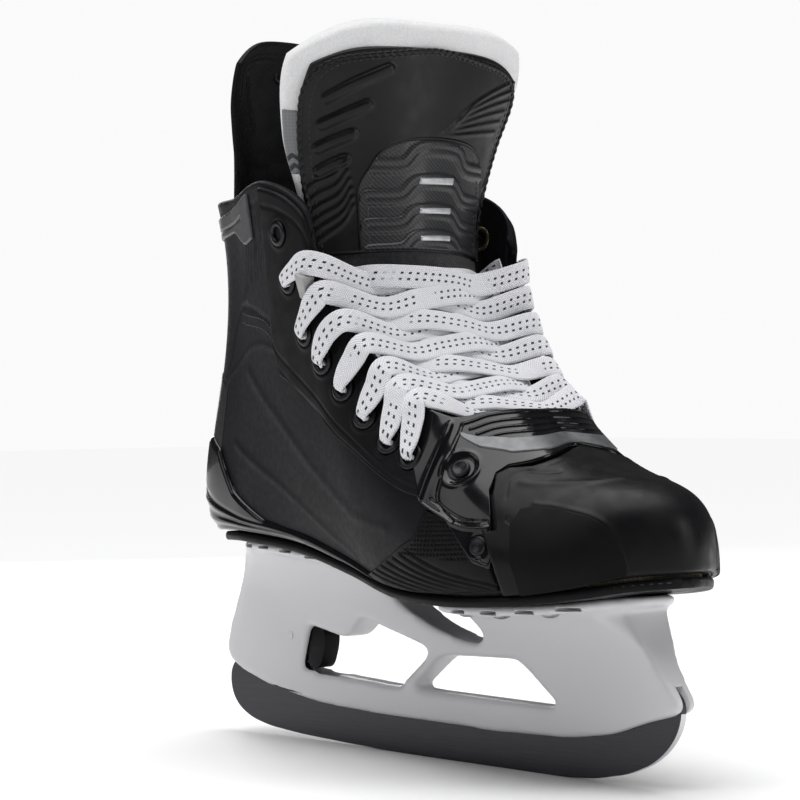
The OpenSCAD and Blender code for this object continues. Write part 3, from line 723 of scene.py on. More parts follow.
def satin_black(name, colour, rough, texture="grain", specular=0.1):
    """Moulded or coated surface with a fine grain, and hexagons or dots where asked for."""
    m = Nodes(name, colour, rough, specular=specular)
    worn(m, colour, tuple(min(1, 1.35 * c + 0.001) for c in colour))
    m.roughness(m.fit(m.noise(140, 5), 0.3, 0.7, rough - 0.06, rough + 0.08))
    if texture == "hex":
        m.relief(m.cells(2.3 * MM), 0.3, 0.1)
    elif texture == "dots":
        m.relief(m.cells(1.9 * MM), 0.6, 0.15)
    m.relief(m.noise(1500, 4, 0.6), 0.22, 0.06)
    return m.mat


def gloss_material():
    m = Nodes("gloss_black", (0.004, 0.004, 0.005), 0.22, coat=0.22, coat_rough=0.05, specular=0.2)
    worn(m, (0.004, 0.004, 0.005), (0.006, 0.006, 0.0072), 0.5)
    m.roughness(m.fit(m.noise(90, 5), 0.3, 0.75, 0.12, 0.26))
    m.relief(m.noise(260, 2), 0.05, 0.3)
    return m.mat


def film_material():
    m = Nodes("film_grey", (0.015, 0.0155, 0.018), 0.35, coat=0.15, coat_rough=0.1, specular=0.3)
    streak = m.noise(60, 4, 0.55, m.scaled(m.surf(), (1, 0.25, 1)))
    m.colour(m.mix(m.fit(streak, 0.3, 0.7), (0.0065, 0.0066, 0.0078), (0.0105, 0.0107, 0.0125)))
    m.relief(m.noise(180, 3), 0.1, 0.25)
    return m.mat


def silver_material(name, dark, pale, metallic):
    m = Nodes(name, dark, 0.38, metallic=metallic)
    m.colour(m.mix(m.fit(m.noise(220, 4), 0.3, 0.7), dark, pale))
    m.relief(m.noise(1400, 3), 0.25, 0.05)
    return m.mat


def fabric(name, dark, pale, thread):
    """Woven cloth on the surface's own lengths; thread is the spacing in millimetres."""
    m = Nodes(name, dark, 0.85, sheen=0.3, specular=0.25)
    uv = m.surf()
    a = m.wave(314 / thread, uv, "X")
    b = m.wave(314 / thread, uv, "Y")
    weave = m.math("MAXIMUM", a, b)
    m.colour(m.mix(m.math("MULTIPLY", weave, m.fit(m.noise(300, 4), 0.25, 0.75)), dark, pale))
    m.relief(weave, 0.6, 0.3)
    m.relief(m.noise(2500, 3, 0.7), 0.4, 0.1)
    return m.mat


def felt_material():
    m = Nodes("felt_white", (0.88, 0.88, 0.89), 0.95, sheen=0.35, specular=0.15, subsurface=0.06)
    m.set("Subsurface Radius", (0.004, 0.004, 0.004))
    fibre = m.noise(1500, 6, 0.75)
    patch = m.noise(130, 4, 0.6)
    tone = m.mix(m.fit(fibre, 0.25, 0.7), (0.74, 0.74, 0.755), (0.94, 0.94, 0.945))
    m.colour(m.mix(m.math("MULTIPLY", m.fit(patch, 0.5, 0.75), 0.4), tone, (0.72, 0.72, 0.74)))
    m.relief(patch, 0.35, 0.7)
    m.relief(fibre, 0.8, 0.3)
    return m.mat


def lace_material():
    m = Nodes("lace_white", (0.82, 0.82, 0.86), 0.8, sheen=0.4, specular=0.25, subsurface=0.04)
    m.set("Subsurface Radius", (0.002, 0.002, 0.002))
    uv = m.surf()
    along, across = m.axis(uv, 0), m.axis(uv, 1)
    side = m.math("ABSOLUTE", across)
    # herringbone: slanted threads that mirror along the middle
    slant = m.math("ADD", along, m.math("MULTIPLY", side, 0.9))
    thread = m.math("SINE", m.math("MULTIPLY", slant, 2 * math.pi / (1.15 * MM)))
    ribs = m.math("SINE", m.math("MULTIPLY", across, 2 * math.pi / (0.85 * MM)))
    weave = m.fit(m.math("ADD", m.math("MULTIPLY", thread, 0.7), m.math("MULTIPLY", ribs, 0.35)), -1, 1)
    # two rows of black ticks
    in_row = m.fit(m.math("ABSOLUTE", m.math("SUBTRACT", side, 1.3 * MM)), 0.4 * MM, 0.55 * MM, 1, 0)
    wobble = m.math("MULTIPLY", m.noise(500, 2), 0.0007)
    phase = m.math("ADD", m.math("ADD", along, m.math("MULTIPLY", across, 0.45)), wobble)
    tick = m.fit(m.math("PINGPONG", phase, 1.9 * MM), 0.62 * MM, 0.8 * MM, 1, 0)
    runs = m.fit(m.noise(38, 1, 0.5, m.scaled(uv, (1, 0.05, 1))), 0.4, 0.44)
    ticks = m.math("MULTIPLY", m.math("MULTIPLY", in_row, tick), runs)
    soft = m.mix(weave, (0.7, 0.7, 0.76), (0.94, 0.94, 0.96))
    soft = m.mix(m.math("MULTIPLY", m.fit(m.noise(90, 4), 0.45, 0.8), 0.4), soft, (0.68, 0.68, 0.75))
    m.colour(m.mix(ticks, soft, (0.012, 0.012, 0.016)))
    m.relief(weave, 0.8, 0.22)
    m.relief(m.noise(3000, 3), 0.4, 0.08)
    return m.mat


def holder_material():
    m = Nodes("holder_white", (0.66, 0.655, 0.675), 0.34, coat=0.15, coat_rough=0.15)
    m.colour(m.mix(m.fit(m.noise(12, 2), 0.2, 0.8), (0.665, 0.66, 0.68), (0.65, 0.645, 0.665)))
    m.relief(m.noise(2600, 2), 0.04, 0.03)
    return m.mat


def steel_material(name, dark, pale, rough):
    """Metal ground lengthways."""
    m = Nodes(name, dark, rough, metallic=1.0)
    lines = m.noise(900, 4, 0.6, m.scaled(m.coords, (0.05, 3, 3)))
    m.colour(m.mix(m.fit(lines, 0.3, 0.7), dark, pale))
    m.roughness(m.fit(lines, 0.25, 0.75, rough - 0.07, rough + 0.08))
    m.relief(lines, 0.25, 0.03)
    return m.mat


def carbon_material():
    m = Nodes("insert_carbon", (0.02, 0.02, 0.022), 0.4, coat=0.2, coat_rough=0.15, specular=0.35)
    uv = m.surf()
    along, across = m.axis(uv, 0), m.axis(uv, 1)
    cell = 1.1 * MM
    stripes = m.math("PINGPONG", m.math("ADD", along, across), cell)
    twill = m.fit(stripes, 0.35 * cell, 0.65 * cell)
    fine = m.math("SINE", m.math("MULTIPLY", along, 2 * math.pi / (0.6 * MM)))
    m.colour(m.mix(twill, (0.009, 0.009, 0.0105), (0.028, 0.0285, 0.031)))
    m.relief(twill, 0.5, 0.12)
    m.relief(fine, 0.3, 0.03)
    return m.mat


def label_material():
    m = Nodes("label_cloth", (0.2, 0.2, 0.21), 0.8, sheen=0.2)
    uv = m.surf()
    along, across = m.axis(uv, 0), m.axis(uv, 1)
    weave = m.math("MAXIMUM", m.wave(220, uv, "X"), m.wave(220, uv, "Y"))
    bend = m.math("PINGPONG", along, 2.4 * MM)
    rows = m.math("PINGPONG", m.math("SUBTRACT", across, m.math("MULTIPLY", bend, 0.8)), 2.1 * MM)
    chevron = m.fit(rows, 0.9 * MM, 1.15 * MM)
    label_height = 22 * MM
    lower = m.fit(across, 0.4 * label_height, 0.42 * label_height, 1, 0)
    pale = m.mix(m.math("MULTIPLY", weave, 0.5), (0.17, 0.172, 0.18), (0.27, 0.275, 0.285))
    m.colour(m.mix(m.math("MULTIPLY", m.math("MULTIPLY", chevron, lower), 0.9), pale, (0.02, 0.02, 0.024)))
    m.relief(weave, 0.5, 0.12)
    return m.mat


MATS = {
    "quarter": quarter_material(),
    "vamp": satin_black("vamp", (0.006, 0.006, 0.007), 0.5),
    "toe_cap": satin_black("toe_cap", (0.005, 0.005, 0.0058), 0.36, "grain", 0.14),
    "toe_hex": satin_black("toe_hex", (0.005, 0.005, 0.0058), 0.5, "hex", 0.08),
    "gloss_black": gloss_material(),
    "sole_black": satin_black("sole_black", (0.0045, 0.0045, 0.0052), 0.42),
    "vent": satin_black("vent", (0.005, 0.005, 0.006), 0.45),
    "facing": satin_black("facing", (0.005, 0.005, 0.006), 0.46),
    "guard": satin_black("guard", (0.005, 0.005, 0.0058), 0.4, "dots"),
    "cover": satin_black("cover", (0.0045, 0.0045, 0.0053), 0.34, "grain", 0.24),
    "trigger_black": satin_black("trigger_black", (0.0055, 0.0055, 0.0062), 0.42),
    "film_grey": film_material(),
    "trim_silver": silver_material("trim_silver", (0.1, 0.102, 0.108), (0.14, 0.142, 0.148), 0.35),
    "collar_trim": silver_material("collar_trim", (0.03, 0.0305, 0.033), (0.05, 0.051, 0.055), 0.3),
    "bar_silver": silver_material("bar_silver", (0.46, 0.465, 0.475), (0.6, 0.605, 0.615), 0.5),
    "liner": fabric("liner", (0.012, 0.012, 0.014), (0.04, 0.04, 0.045), 1.1),
    "foam_dark": fabric("foam_dark", (0.016, 0.016, 0.019), (0.05, 0.05, 0.056), 1.6),
    "felt": felt_material(),
    "lace": lace_material(),
    "aglet": satin_black("aglet", (0.55, 0.55, 0.58), 0.25, "grain", 0.5),
    "holder_white": holder_material(),
    "runner_steel": steel_material("runner_steel", (0.055, 0.054, 0.061), (0.075, 0.074, 0.082), 0.36),
    "edge_steel": steel_material("edge_steel", (0.52, 0.52, 0.53), (0.68, 0.68, 0.69), 0.24),
    "rivet_steel": steel_material("rivet_steel", (0.42, 0.42, 0.43), (0.58, 0.58, 0.59), 0.32),
    "pin_steel": steel_material("pin_steel", (0.45, 0.45, 0.46), (0.6, 0.6, 0.61), 0.28),
    "rivet_dark": steel_material("rivet_dark", (0.022, 0.022, 0.024), (0.04, 0.04, 0.043), 0.38),
    "eyelet": steel_material("eyelet", (0.018, 0.018, 0.020), (0.045, 0.045, 0.048), 0.36),
    "washer": steel_material("washer", (0.16, 0.125, 0.085), (0.26, 0.21, 0.15), 0.42),
    "lock_grey": satin_black("lock_grey", (0.33, 0.33, 0.325), 0.42),
    "insert": carbon_material(),
    "label": label_material(),
    "board": fabric("board", (0.10, 0.085, 0.062), (0.2, 0.175, 0.13), 1.4),
    "thread": fabric("thread", (0.045, 0.045, 0.05), (0.11, 0.11, 0.12), 0.4),
    "thread_dark": fabric("thread_dark", (0.014, 0.014, 0.016), (0.045, 0.045, 0.05), 0.4),
}


def dressed(piece, material):
    """Gives a piece its material and slot."""
    piece.data.materials.clear()
    piece.data.materials.append(MATS[material])


def done(piece, material, body="root", replaces=()):
    """Piece that rides on one body."""
    dressed(piece, material)
    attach(piece, body)
    if replaces:
        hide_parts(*replaces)
    return piece


# ---- boot ----

def along(places, x):
    """Value at x on the broken line through places."""
    q = np.asarray(places, float)
    return np.interp(x, q[:, 0], q[:, 1])


def side_span(side, a, b):
    """Range of ribs from a to b on the outer side, or the mirrored range on the inner side."""
    return (a, b) if side > 0 else (-b, -a)


def skin_place(w, t):
    """Point on the boot's skin and the normal there."""
    w, t = np.array(w), np.array(t)
    return boot(w, t), normal(boot, w, t)


# Eyelets from the toe up: [rib, place along the rib, rib of the nearest point on the facing's edge]
EYELETS = [
    [6.25, 0.76, 6.6], [5.9, 0.76, 6.3], [5.55, 0.76, 6], [5.2, 0.76, 5.7], [4.65, 0.74, 5.45],
    [3.95, 0.73, 5.15], [3.6, 0.82, 4.85], [3.45, 0.91, 4.3]]
FACING_LOW = [[3, 0.66], [3.2, 0.58], [4.4, 0.54], [6.4, 0.6]]
SHELL_T, FACING_T, LAYER_GAP = 2.8, 1.6, 0.5
EYELET_BORE = 3.6
BOOT_SIDES = (lambda w: w, lambda w: -w)
TOE_SIDES = (lambda w: w, lambda w: 20 - w)


def mirrored_w(w):
    """Rib number on the outer side for a place on either side of the toe."""
    return np.where(w > 10, 20 - w, np.abs(w))


def rod(radius, half_length):
    """Profile of a solid round bar."""
    return [[0, -half_length], [radius, -half_length], [radius, half_length], [0, half_length]]


def punched(piece, places):
    """Eyelet bores along the skin's normal."""
    return cut(piece, merged("cutter", [
        lathe(rod(EYELET_BORE, 9), *skin_place(w, t), 24) for w, t in places]))


def eye_places(side):
    return [(side * w, t) for w, t, _ in EYELETS]


# Seams and pressed lines of the quarters: (places, width, height)
QUARTER_LINES = [
    ([(1.9, 0.4), (2.21, 0.357), (2.91, 0.25), (3.65, 0.157), (4.3, 0.1)], 1.6, 0.35),
    ([(2.2, 0.6), (2.9, 0.47), (3.7, 0.36), (4.6, 0.3), (5.4, 0.33)], 2.2, 0.3),
    ([(1.5, 0.62), (1.92, 0.76), (2.78, 0.713), (3.08, 0.69)], 0.6, -0.5),
    ([(0.9, 0.5), (1.6, 0.6), (2.3, 0.66), (3.0, 0.64)], 0.9, 0.25),
    *(([(2.1 + 0.11 * k, 0.79 + 0.006 * k), (2.42 + 0.11 * k, 0.93 + 0.004 * k)], 0.55, -0.35)
      for k in range(7)),
    ([(2.99, 0.973), (2.68, 0.883), (2.44, 0.823), (2.2, 0.775)], 1.1, 0.8),
    ([(0.02, 0.955), (1, 0.955), (2, 0.957), (2.9, 0.96)], 0.7, -0.45)]
quarter = shell("quarter", boot, (-7.62, 7.62), 0.008, 1.0, -SHELL_T, 0, cell=1.05, rim=1.5,
                relief=lambda p, u, v: ridges(p, QUARTER_LINES, BOOT_SIDES))
punched(quarter, eye_places(1) + eye_places(-1))
done(quarter, "quarter", replaces=("quarter_lateral", "quarter_medial"))

toe_box = shell("toe_box", boot, (7.6, 12.4), 0.008, 1.0, -SHELL_T, 0, cell=1.6, rim=1.5)
done(toe_box, "vamp", replaces=("toe_box",))

# Places along the ribs where the heel counter ends: [rib, place]
COUNTER_TOP = [[0, 0.43], [1.2, 0.425], [1.52, 0.387], [1.72, 0.317], [1.93, 0.233], [2.24, 0.167],
               [2.5, 0.107], [2.85, 0.08], [3.33, 0.072], [4.2, 0.056], [4.72, 0.043]]
# Ridges and grooves that sweep down and forward from the heel
COUNTER_LINES = [
    ([(0.15, 0.33 - 0.055 * k), (0.9, 0.27 - 0.048 * k), (1.6, 0.17 - 0.028 * k),
      (2.3, 0.1 - 0.013 * k), (3.2, 0.066 - 0.006 * k)], 0.9, 0.45 if k % 2 else -0.4)
    for k in range(5)]
counter = shell("heel_counter", boot, (-4.7, 4.7), 0.02, lambda w: along(COUNTER_TOP, np.abs(w)), -0.3, 2.0,
                cell=0.9, rim=2.2, relief=lambda p, u, v: ridges(p, COUNTER_LINES, BOOT_SIDES))
done(counter, "gloss_black", replaces=("heel_counter",))

FILM_W = 1.5
film = shell("heel_film", boot, (-FILM_W, FILM_W),
             lambda w: 0.33 - 0.02 * (np.abs(w) / FILM_W) ** 4,
             lambda w: 0.62 - 0.05 * (np.abs(w) / FILM_W) ** 4,
             -0.2, 0.5, cell=1.2, rim=1.2)
done(film, "film_grey", replaces=("heel_strip",))


PANEL_LINES = [([(0.6, 0.925), (2.3, 0.95)], 0.5, -0.4)]


def collar_panel(side):
    return shell("collar_panel", boot, side_span(side, 0.3, 2.62),
                 lambda w: 0.9 + 0.014 * np.abs(w) - 0.045 * smooth((np.abs(w) - 1.9) / 0.5),
                 lambda w: np.minimum(0.985, 0.945 + 0.016 * np.abs(w)), -0.2, 1.0, cell=0.8, rim=0.8,
                 relief=lambda p, u, v: ridges(p, PANEL_LINES, [lambda w: side * w]))


panels = joined("collar_panels_trim", [collar_panel(1), collar_panel(-1)])
done(panels, "collar_trim", replaces=("collar_panels",))


FACING_LINES = [([(w, t + 0.02) for w, t in FACING_LOW], 0.45, -0.3),
                ([(w, t + 0.055) for w, t in FACING_LOW], 0.45, -0.3),
                ([(3.1, 0.955), (4, 0.957), (5, 0.955), (6.35, 0.95)], 0.6, -0.45)]


def facing(side, name, node):
    """Eyelet facing, with pressed lines along its edges and a ring round each eyelet."""
    def relief(p, u, v):
        h = ridges(p, FACING_LINES, [lambda w: side * w])
        for place in eye_places(side):
            d = np.linalg.norm(p - skin_place(*place)[0], axis=-1)
            h = h + 0.35 * np.exp(-((d - 6.1) / 0.8) ** 2) - 0.25 * (d < 5.4)
        return h

    piece = shell(name, boot, side_span(side, 3.02, 6.44), lambda w: along(FACING_LOW, np.abs(w)), 0.99,
                  -0.2, LAYER_GAP + FACING_T, cell=0.85, rim=1.3, relief=relief)
    punched(piece, eye_places(side))
    done(piece, "facing", replaces=(node,))


facing(1, "facing_outer", "facing_lateral")
facing(-1, "facing_inner", "facing_medial")

FLANGE_Z = FACING_T + LAYER_GAP + 0.3
EYELET_PROFILE = [[2.8, -3.3], [3.7, -3.3], [3.7, FLANGE_Z - 0.2], [5.1, FLANGE_Z - 0.1],
                  [5.25, FLANGE_Z + 0.15], [5.0, FLANGE_Z + 0.5], [4.3, FLANGE_Z + 0.8],
                  [3.5, FLANGE_Z + 0.8], [3.0, FLANGE_Z + 0.55], [2.8, FLANGE_Z + 0.1]]
WASHER_PROFILE = [[3.75, -3.4], [5.6, -3.4], [5.7, -3.1], [5.6, -2.75], [3.75, -2.75]]
for side, node in ((1, "eyelets_lateral"), (-1, "eyelets_medial")):
    rings = [lathe(EYELET_PROFILE, *skin_place(*place), 40) for place in eye_places(side)]
    washers = [lathe(WASHER_PROFILE, *skin_place(*place), 32) for place in eye_places(side)]
    done(merged(node + "_rings", rings), "eyelet", replaces=(node,))
    done(merged(node + "_washers", washers), "washer")

VENT_TOP = [[4.5, 0.03], [4.86, 0.11], [5.37, 0.22], [5.94, 0.37], [6.11, 0.46], [6.3, 0.55], [7.05, 0.5]]
VENT_START = [(4.75 + 0.17 * k, 0.075 + 0.034 * k) for k in range(7)]
VENT_LINES = [
    ([(w, t), (w + 0.55, t * 0.62 + 0.01), (w + 1.2, t * 0.34), (7.0, 0.03)], 0.62, -0.7)
    for w, t in VENT_START]
VENT_FIELD = [[5.2, 0.2], [6.2, 0.27], [7.0, 0.24]]
VENT_PITCH = 1.9


def vent(side, name, node):
    """Vent panel: perforated behind the toe bridge, with fanned grooves down to the sole."""
    def relief(p, u, v):
        w = np.abs(u)
        su, sv = layer_uv(p)
        line = np.round(sv / VENT_PITCH)
        du = (su + VENT_PITCH / 2 * (line % 2)) / VENT_PITCH
        hole = np.hypot(du - np.round(du), sv / VENT_PITCH - line) * VENT_PITCH
        field = smooth((v - along(VENT_FIELD, w)) / 0.02) * smooth((6.75 - w) / 0.08)
        field = field * smooth((along(VENT_TOP, w) - 0.02 - v) / 0.02)
        return ridges(p, VENT_LINES, [lambda w: side * w]) - 0.8 * field * smooth((0.72 - hole) / 0.25)

    piece = shell(name, boot, side_span(side, 4.52, 7.0), 0.02, lambda w: along(VENT_TOP, np.abs(w)),
                  -0.3, 1.3, cell=0.42, rim=0.9, relief=relief, coarse=8)
    done(piece, "vent", replaces=(node,))


vent(1, "vent_panel_outer", "vent_panel_lateral")
vent(-1, "vent_panel_inner", "vent_panel_medial")

SEAMS = ([(3.58, 0.585), (4.57, 0.588), (5.6, 0.635), (6.18, 0.622)],
         [(1.95, 0.75), (2.78, 0.705), (3.29, 0.63), (3.58, 0.585)])
seams = [(boot, trace(boot, [(side * w, t - lift) for w, t in q]), 0.12)
         for side in (1, -1) for lift in (0, 0.022) for q in SEAMS]
done(stitches("quarter_seam_stitches", seams, 2.6, 1.8, 0.26), "thread")

# Front edge of the toe cap's side panel
CAP_WELT = [(8.0, 0.56), (8.3, 0.5), (8.62, 0.35), (8.85, 0.18), (9.03, 0.03)]
# Ridges and creases of the toe cap
CAP_LINES = [
    ([(7.97, 0.683), (8.56, 0.63), (9.09, 0.553), (9.6, 0.5)], 1.6, 0.4),
    ([(8.2, 0.735), (8.5, 0.71), (8.75, 0.695)], 0.7, -0.45),
    (CAP_WELT, 0.9, 0.35),
    ([(7.48, 0.5), (7.56, 0.44), (7.62, 0.25), (7.8, 0.04)], 0.5, -0.4),
    ([(7.6, 0.62), (7.85, 0.72), (8.4, 0.735), (9, 0.76), (9.6, 0.785)], 0.45, -0.3)]
CAP_TOP = [[7.06, 0.5], [7.15, 0.45], [7.3, 0.46], [7.42, 0.66], [7.6, 0.75], [7.87, 0.77], [8.35, 0.765],
           [9, 0.785], [10, 0.81]]
cap = shell("toe_cap_shell", boot, (7.05, 12.95), 0.015, lambda w: along(CAP_TOP, mirrored_w(w)), -0.3, 2.9,
            cell=0.85, rim=1.6, relief=lambda p, u, v: ridges(p, CAP_LINES, TOE_SIDES))
done(cap, "toe_cap", replaces=("toe_cap",))
SIDE_TOP = [(7.3, 0.24), (7.5, 0.48), (7.75, 0.56)] + CAP_WELT
side_panels = joined("toe_cap_sides", [
    shell("toe_cap_side", boot, span, 0.02, lambda w: along(SIDE_TOP, mirrored_w(w)) - 0.012, 2.2, 3.12,
          cell=0.8, rim=0.35)
    for span in ((7.32, 8.98), (11.02, 12.68))])
done(side_panels, "toe_hex")

BRIDGE_LOW = [[6.25, 0.575], [6.6, 0.5], [6.8, 0.24], [7.0, 0.2], [7.12, 0.3], [7.2, 0.44], [7.38, 0.66],
              [7.6, 0.74], [7.9, 0.77], [8.4, 0.78], [9, 0.8], [10, 0.82]]
UPPER_RIVET, LOWER_RIVET = (7.03, 0.77), (6.95, 0.36)
BRIDGE_LINES = [
    ([(7.07, 0.95), (6.77, 0.837), (6.5, 0.713), (6.3, 0.6)], 1.3, 1.0),
    ([(7.3, 0.95), (7.0, 0.86), (6.72, 0.73), (6.55, 0.6), (6.7, 0.5)], 0.6, -0.6),
    ([(6.3, 0.57), (6.51, 0.53), (6.81, 0.47), (7.16, 0.463)], 0.8, 0.8),
    ([(6.45, 0.6), (6.6, 0.57), (6.85, 0.51), (7.2, 0.5)], 0.5, -0.5),
    ([(6.85, 0.3), (7.0, 0.25), (7.12, 0.33)], 0.6, -0.5)]


def bridge_relief(p, u, v):
    """Facets and rivet wells of the toe bridge, and steps across its top."""
    h = ridges(p, BRIDGE_LINES, TOE_SIDES)
    for mir in TOE_SIDES:
        d = np.linalg.norm(p - skin_place(mir(UPPER_RIVET[0]), UPPER_RIVET[1])[0], axis=-1)
        h = h - 0.8 * smooth((6.6 - d) / 1.6) + 0.5 * np.exp(-((d - 7.4) / 0.9) ** 2)
        d = np.linalg.norm(p - skin_place(mir(LOWER_RIVET[0]), LOWER_RIVET[1])[0], axis=-1)
        h = h - 0.5 * smooth((5.2 - d) / 1.2)
    for k in range(4):
        t = 0.965 - 0.022 * k
        q = [(7.35 + 0.1 * k, t - 0.01), (8.2, t + 0.004), (9.2, t + 0.006), (10, t + 0.006),
             (10.8, t + 0.006), (11.8, t + 0.004), (12.65 - 0.1 * k, t - 0.01)]
        h = h + bump(p, trace(boot, q), 0.55, 0.55)
    return h


bridge = shell("toe_bridge_shell", boot, (6.25, 13.75), lambda w: along(BRIDGE_LOW, mirrored_w(w)), 0.985,
               -0.3, 2.5, cell=0.75, rim=1.3, relief=bridge_relief)
done(bridge, "gloss_black", replaces=("toe_bridge",))

BAND_LOW = [[7.2, 0.905], [7.5, 0.86], [8.1, 0.825], [9, 0.825], [10, 0.83]]
BAND_TOP = [[7.2, 0.925], [7.6, 0.9], [8.2, 0.885], [10, 0.885]]
band = shell("toe_bridge_band", boot, (7.2, 12.8), lambda w: along(BAND_LOW, mirrored_w(w)),
             lambda w: along(BAND_TOP, mirrored_w(w)), 2.0, 3.0, cell=0.7, rim=0.5)
done(band, "trim_silver")

HEAD_PROFILE = [[0, 0.2], [3.7, 0.2], [3.7, 2.3], [3.5, 2.75], [3.0, 3.0], [2.4, 2.85], [1.9, 2.6], [0, 2.5]]
heads = [lathe(HEAD_PROFILE, *skin_place(mir(w), t), 36)
         for mir in TOE_SIDES for w, t in (UPPER_RIVET, LOWER_RIVET)]
done(merged("bridge_rivet_heads", heads), "rivet_dark", replaces=("bridge_rivets",))

LINER_TOP = [[0, 0.97], [2.98, 0.97], [3.1, 0.64], [3.4, 0.55], [4.4, 0.5], [6.3, 0.55], [7.5, 0.6]]
front_top = lambda w: along(LINER_TOP, np.maximum(np.abs(w), 3.05))
for side, node in ((1, "liner_lateral"), (-1, "liner_medial")):
    parts = [shell("part", boot, side_span(side, a, b), 0.06, top, -SHELL_T - 3.1, -SHELL_T + 0.1,
                   cell=2.2, rim=1.2)
             for a, b, top in ((0.02, 2.98, 0.97), (2.98, 7.5, front_top))]
    done(joined(node + "_cloth", parts), "liner", replaces=(node,))

# Depth of the pads' backs below the skin
PAD = -SHELL_T - 3.6
ankle = joined("ankle_foam", [
    shell("part", boot, side_span(side, 1.9, 3.0), 0.4, 0.64, PAD - 4.6, PAD, cell=1.4, rim=4)
    for side in (1, -1)])
done(ankle, "foam_dark", replaces=("ankle_pads",))

collar = shell("collar_foam", boot, (-2.8, 2.8), 0.78, 0.965, PAD - 8.6, PAD + 0.4, cell=1.4, rim=4.5)
done(collar, "liner", replaces=("collar_pad",))

# ---- sole ----

def rail(side, s):
    """Outline of the sole on one side, at rib s."""
    s = np.asarray(s, float)
    i = np.clip(np.floor(s).astype(int), 0, 9)
    h = HANDLES[side]
    u = (s - i)[..., None]
    return through(h[i + 1, 0], h[i + 2, 0], h[i + 3, 0], h[i + 4, 0], u)


def sole_plate(name, start, end, inset, z0, z1, soft, crown=0.0):
    """Plate that follows the sole's outline, with rounded edges above and below."""
    s = np.linspace(start, end, 150)
    o, i = rail(-1, s), rail(1, s)
    lo = np.minimum(-0.8, o[:, 1] + inset)
    hi = np.maximum(0.8, i[:, 1] - inset)
    share = steps_at(60, 1.6) / 60
    y = lo[:, None] + (hi - lo)[:, None] * share[None]
    from_side = np.minimum(y - lo[:, None], hi[:, None] - y)
    from_end = np.minimum(arc(o)[:, None], arc(o)[-1] - arc(o)[:, None])
    e = np.minimum(from_side, from_end)
    k = rounded(e, soft)
    mid = (z0 + z1) / 2
    z = o[:, 2][:, None]
    x = np.repeat(o[:, 0][:, None], len(share), 1)
    top = np.stack([x, y, z + mid + (z1 - mid) * k + crown * smooth(from_side / 8)], -1)
    low = np.stack([x, y, z + mid + (z0 - mid) * k], -1)
    return two_sided(name, top, low, np.stack([np.repeat(arc(o)[:, None], len(share), 1), y], -1))


sole = sole_plate("outsole_plate", 0.05, 9.95, -1.3, -3.7, 0.2, 1.4)
done(sole, "sole_black", replaces=("outsole",))
parts = []
for side in (-1, 1):
    p = resample(rail(side, np.linspace(0.3, 9.8, 600)) + [0, side * 0.85, -1.2], 0.5)
    parts += [capsule(p[k], p[k + 5], np.array([0, side, 0.2]), 0.38) for k in range(3, len(p) - 6, 7)]
done(merged("sole_stitches", parts), "thread")

board = sole_plate("insole_board_plate", 0.6, 9.1, 5, 0.1, 2.4, 0.8)
done(board, "board", replaces=("insole_board",))
bed = sole_plate("footbed_foam", 0.8, 9.0, 8.4, 4.7, 8.6, 1.9, crown=0.6)
done(bed, "foam_dark", replaces=("footbed",))

# ---- tongue ----

COVER_SIDE = [[5.9, 0.97], [7.2, 0.95], [7.84, 0.915], [8.58, 0.9], [9.3, 0.855], [10, 0.81]]


def cover_face(s, v):
    """Face of the tongue's cover: s runs from -1 to 1 across it."""
    return tongue(s * along(COVER_SIDE, v), v)


def on_cover(places):
    """Places (share of the tongue's half width, row) as places on the cover's own surface."""
    q = np.asarray(places, float)
    return np.stack([q[:, 0] / along(COVER_SIDE, q[:, 1]), q[:, 1]], -1)


def bending(piece, material, replaces=()):
    """Tongue piece: gets its material, and its placement is baked into its own mesh."""
    dressed(piece, material)
    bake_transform(piece)
    if replaces:
        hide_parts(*replaces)
    return piece


def felt_relief(p, u, v):
    """Slight lumps of the felt above the lace."""
    x, y, z = p[..., 0], p[..., 1], p[..., 2]
    broad = 0.45 * np.sin(x / 9 + y / 13) * np.sin(y / 11 - z / 15)
    lumps = broad + 0.25 * np.sin(y / 4.3 + z / 6.1) * np.sin(z / 5.2)
    return lumps * smooth((v - 5.5) / 0.8)


def felt_back(p, u, v):
    """The felt is 5 mm thick under the lace and 7 mm above it."""
    return -5.0 - 2.0 * smooth((v - 5.6) / 0.6)


felt = shell("tongue_felt_pad", tongue, (-1.0, 1.0), 0.0,
             lambda a: 10.0 - 0.3 * a ** 4 - 0.45 * np.maximum(0, -a) ** 5,
             felt_back, 0.05, cell=1.15, rim=3.6, relief=felt_relief)
bending(felt, "felt", ("tongue_lower", "tongue_felt"))
lining = shell("tongue_lower_cloth", tongue, (-1.0, 1.0), 0.0, 6.15, 0.15, 0.75, cell=1.4, rim=0.5)
bending(lining, "liner")

BARS = [7.42, 6.88, 6.31]
ARCH_SIDE = [[5.9, 0.74], [6.6, 0.72], [7.2, 0.7], [7.6, 0.64]]
ARCH_MID = 0.12


def arch_top(q):
    """Row where the arched insert ends."""
    return 8.12 - 0.22 * q ** 2 - 0.55 * q ** 6


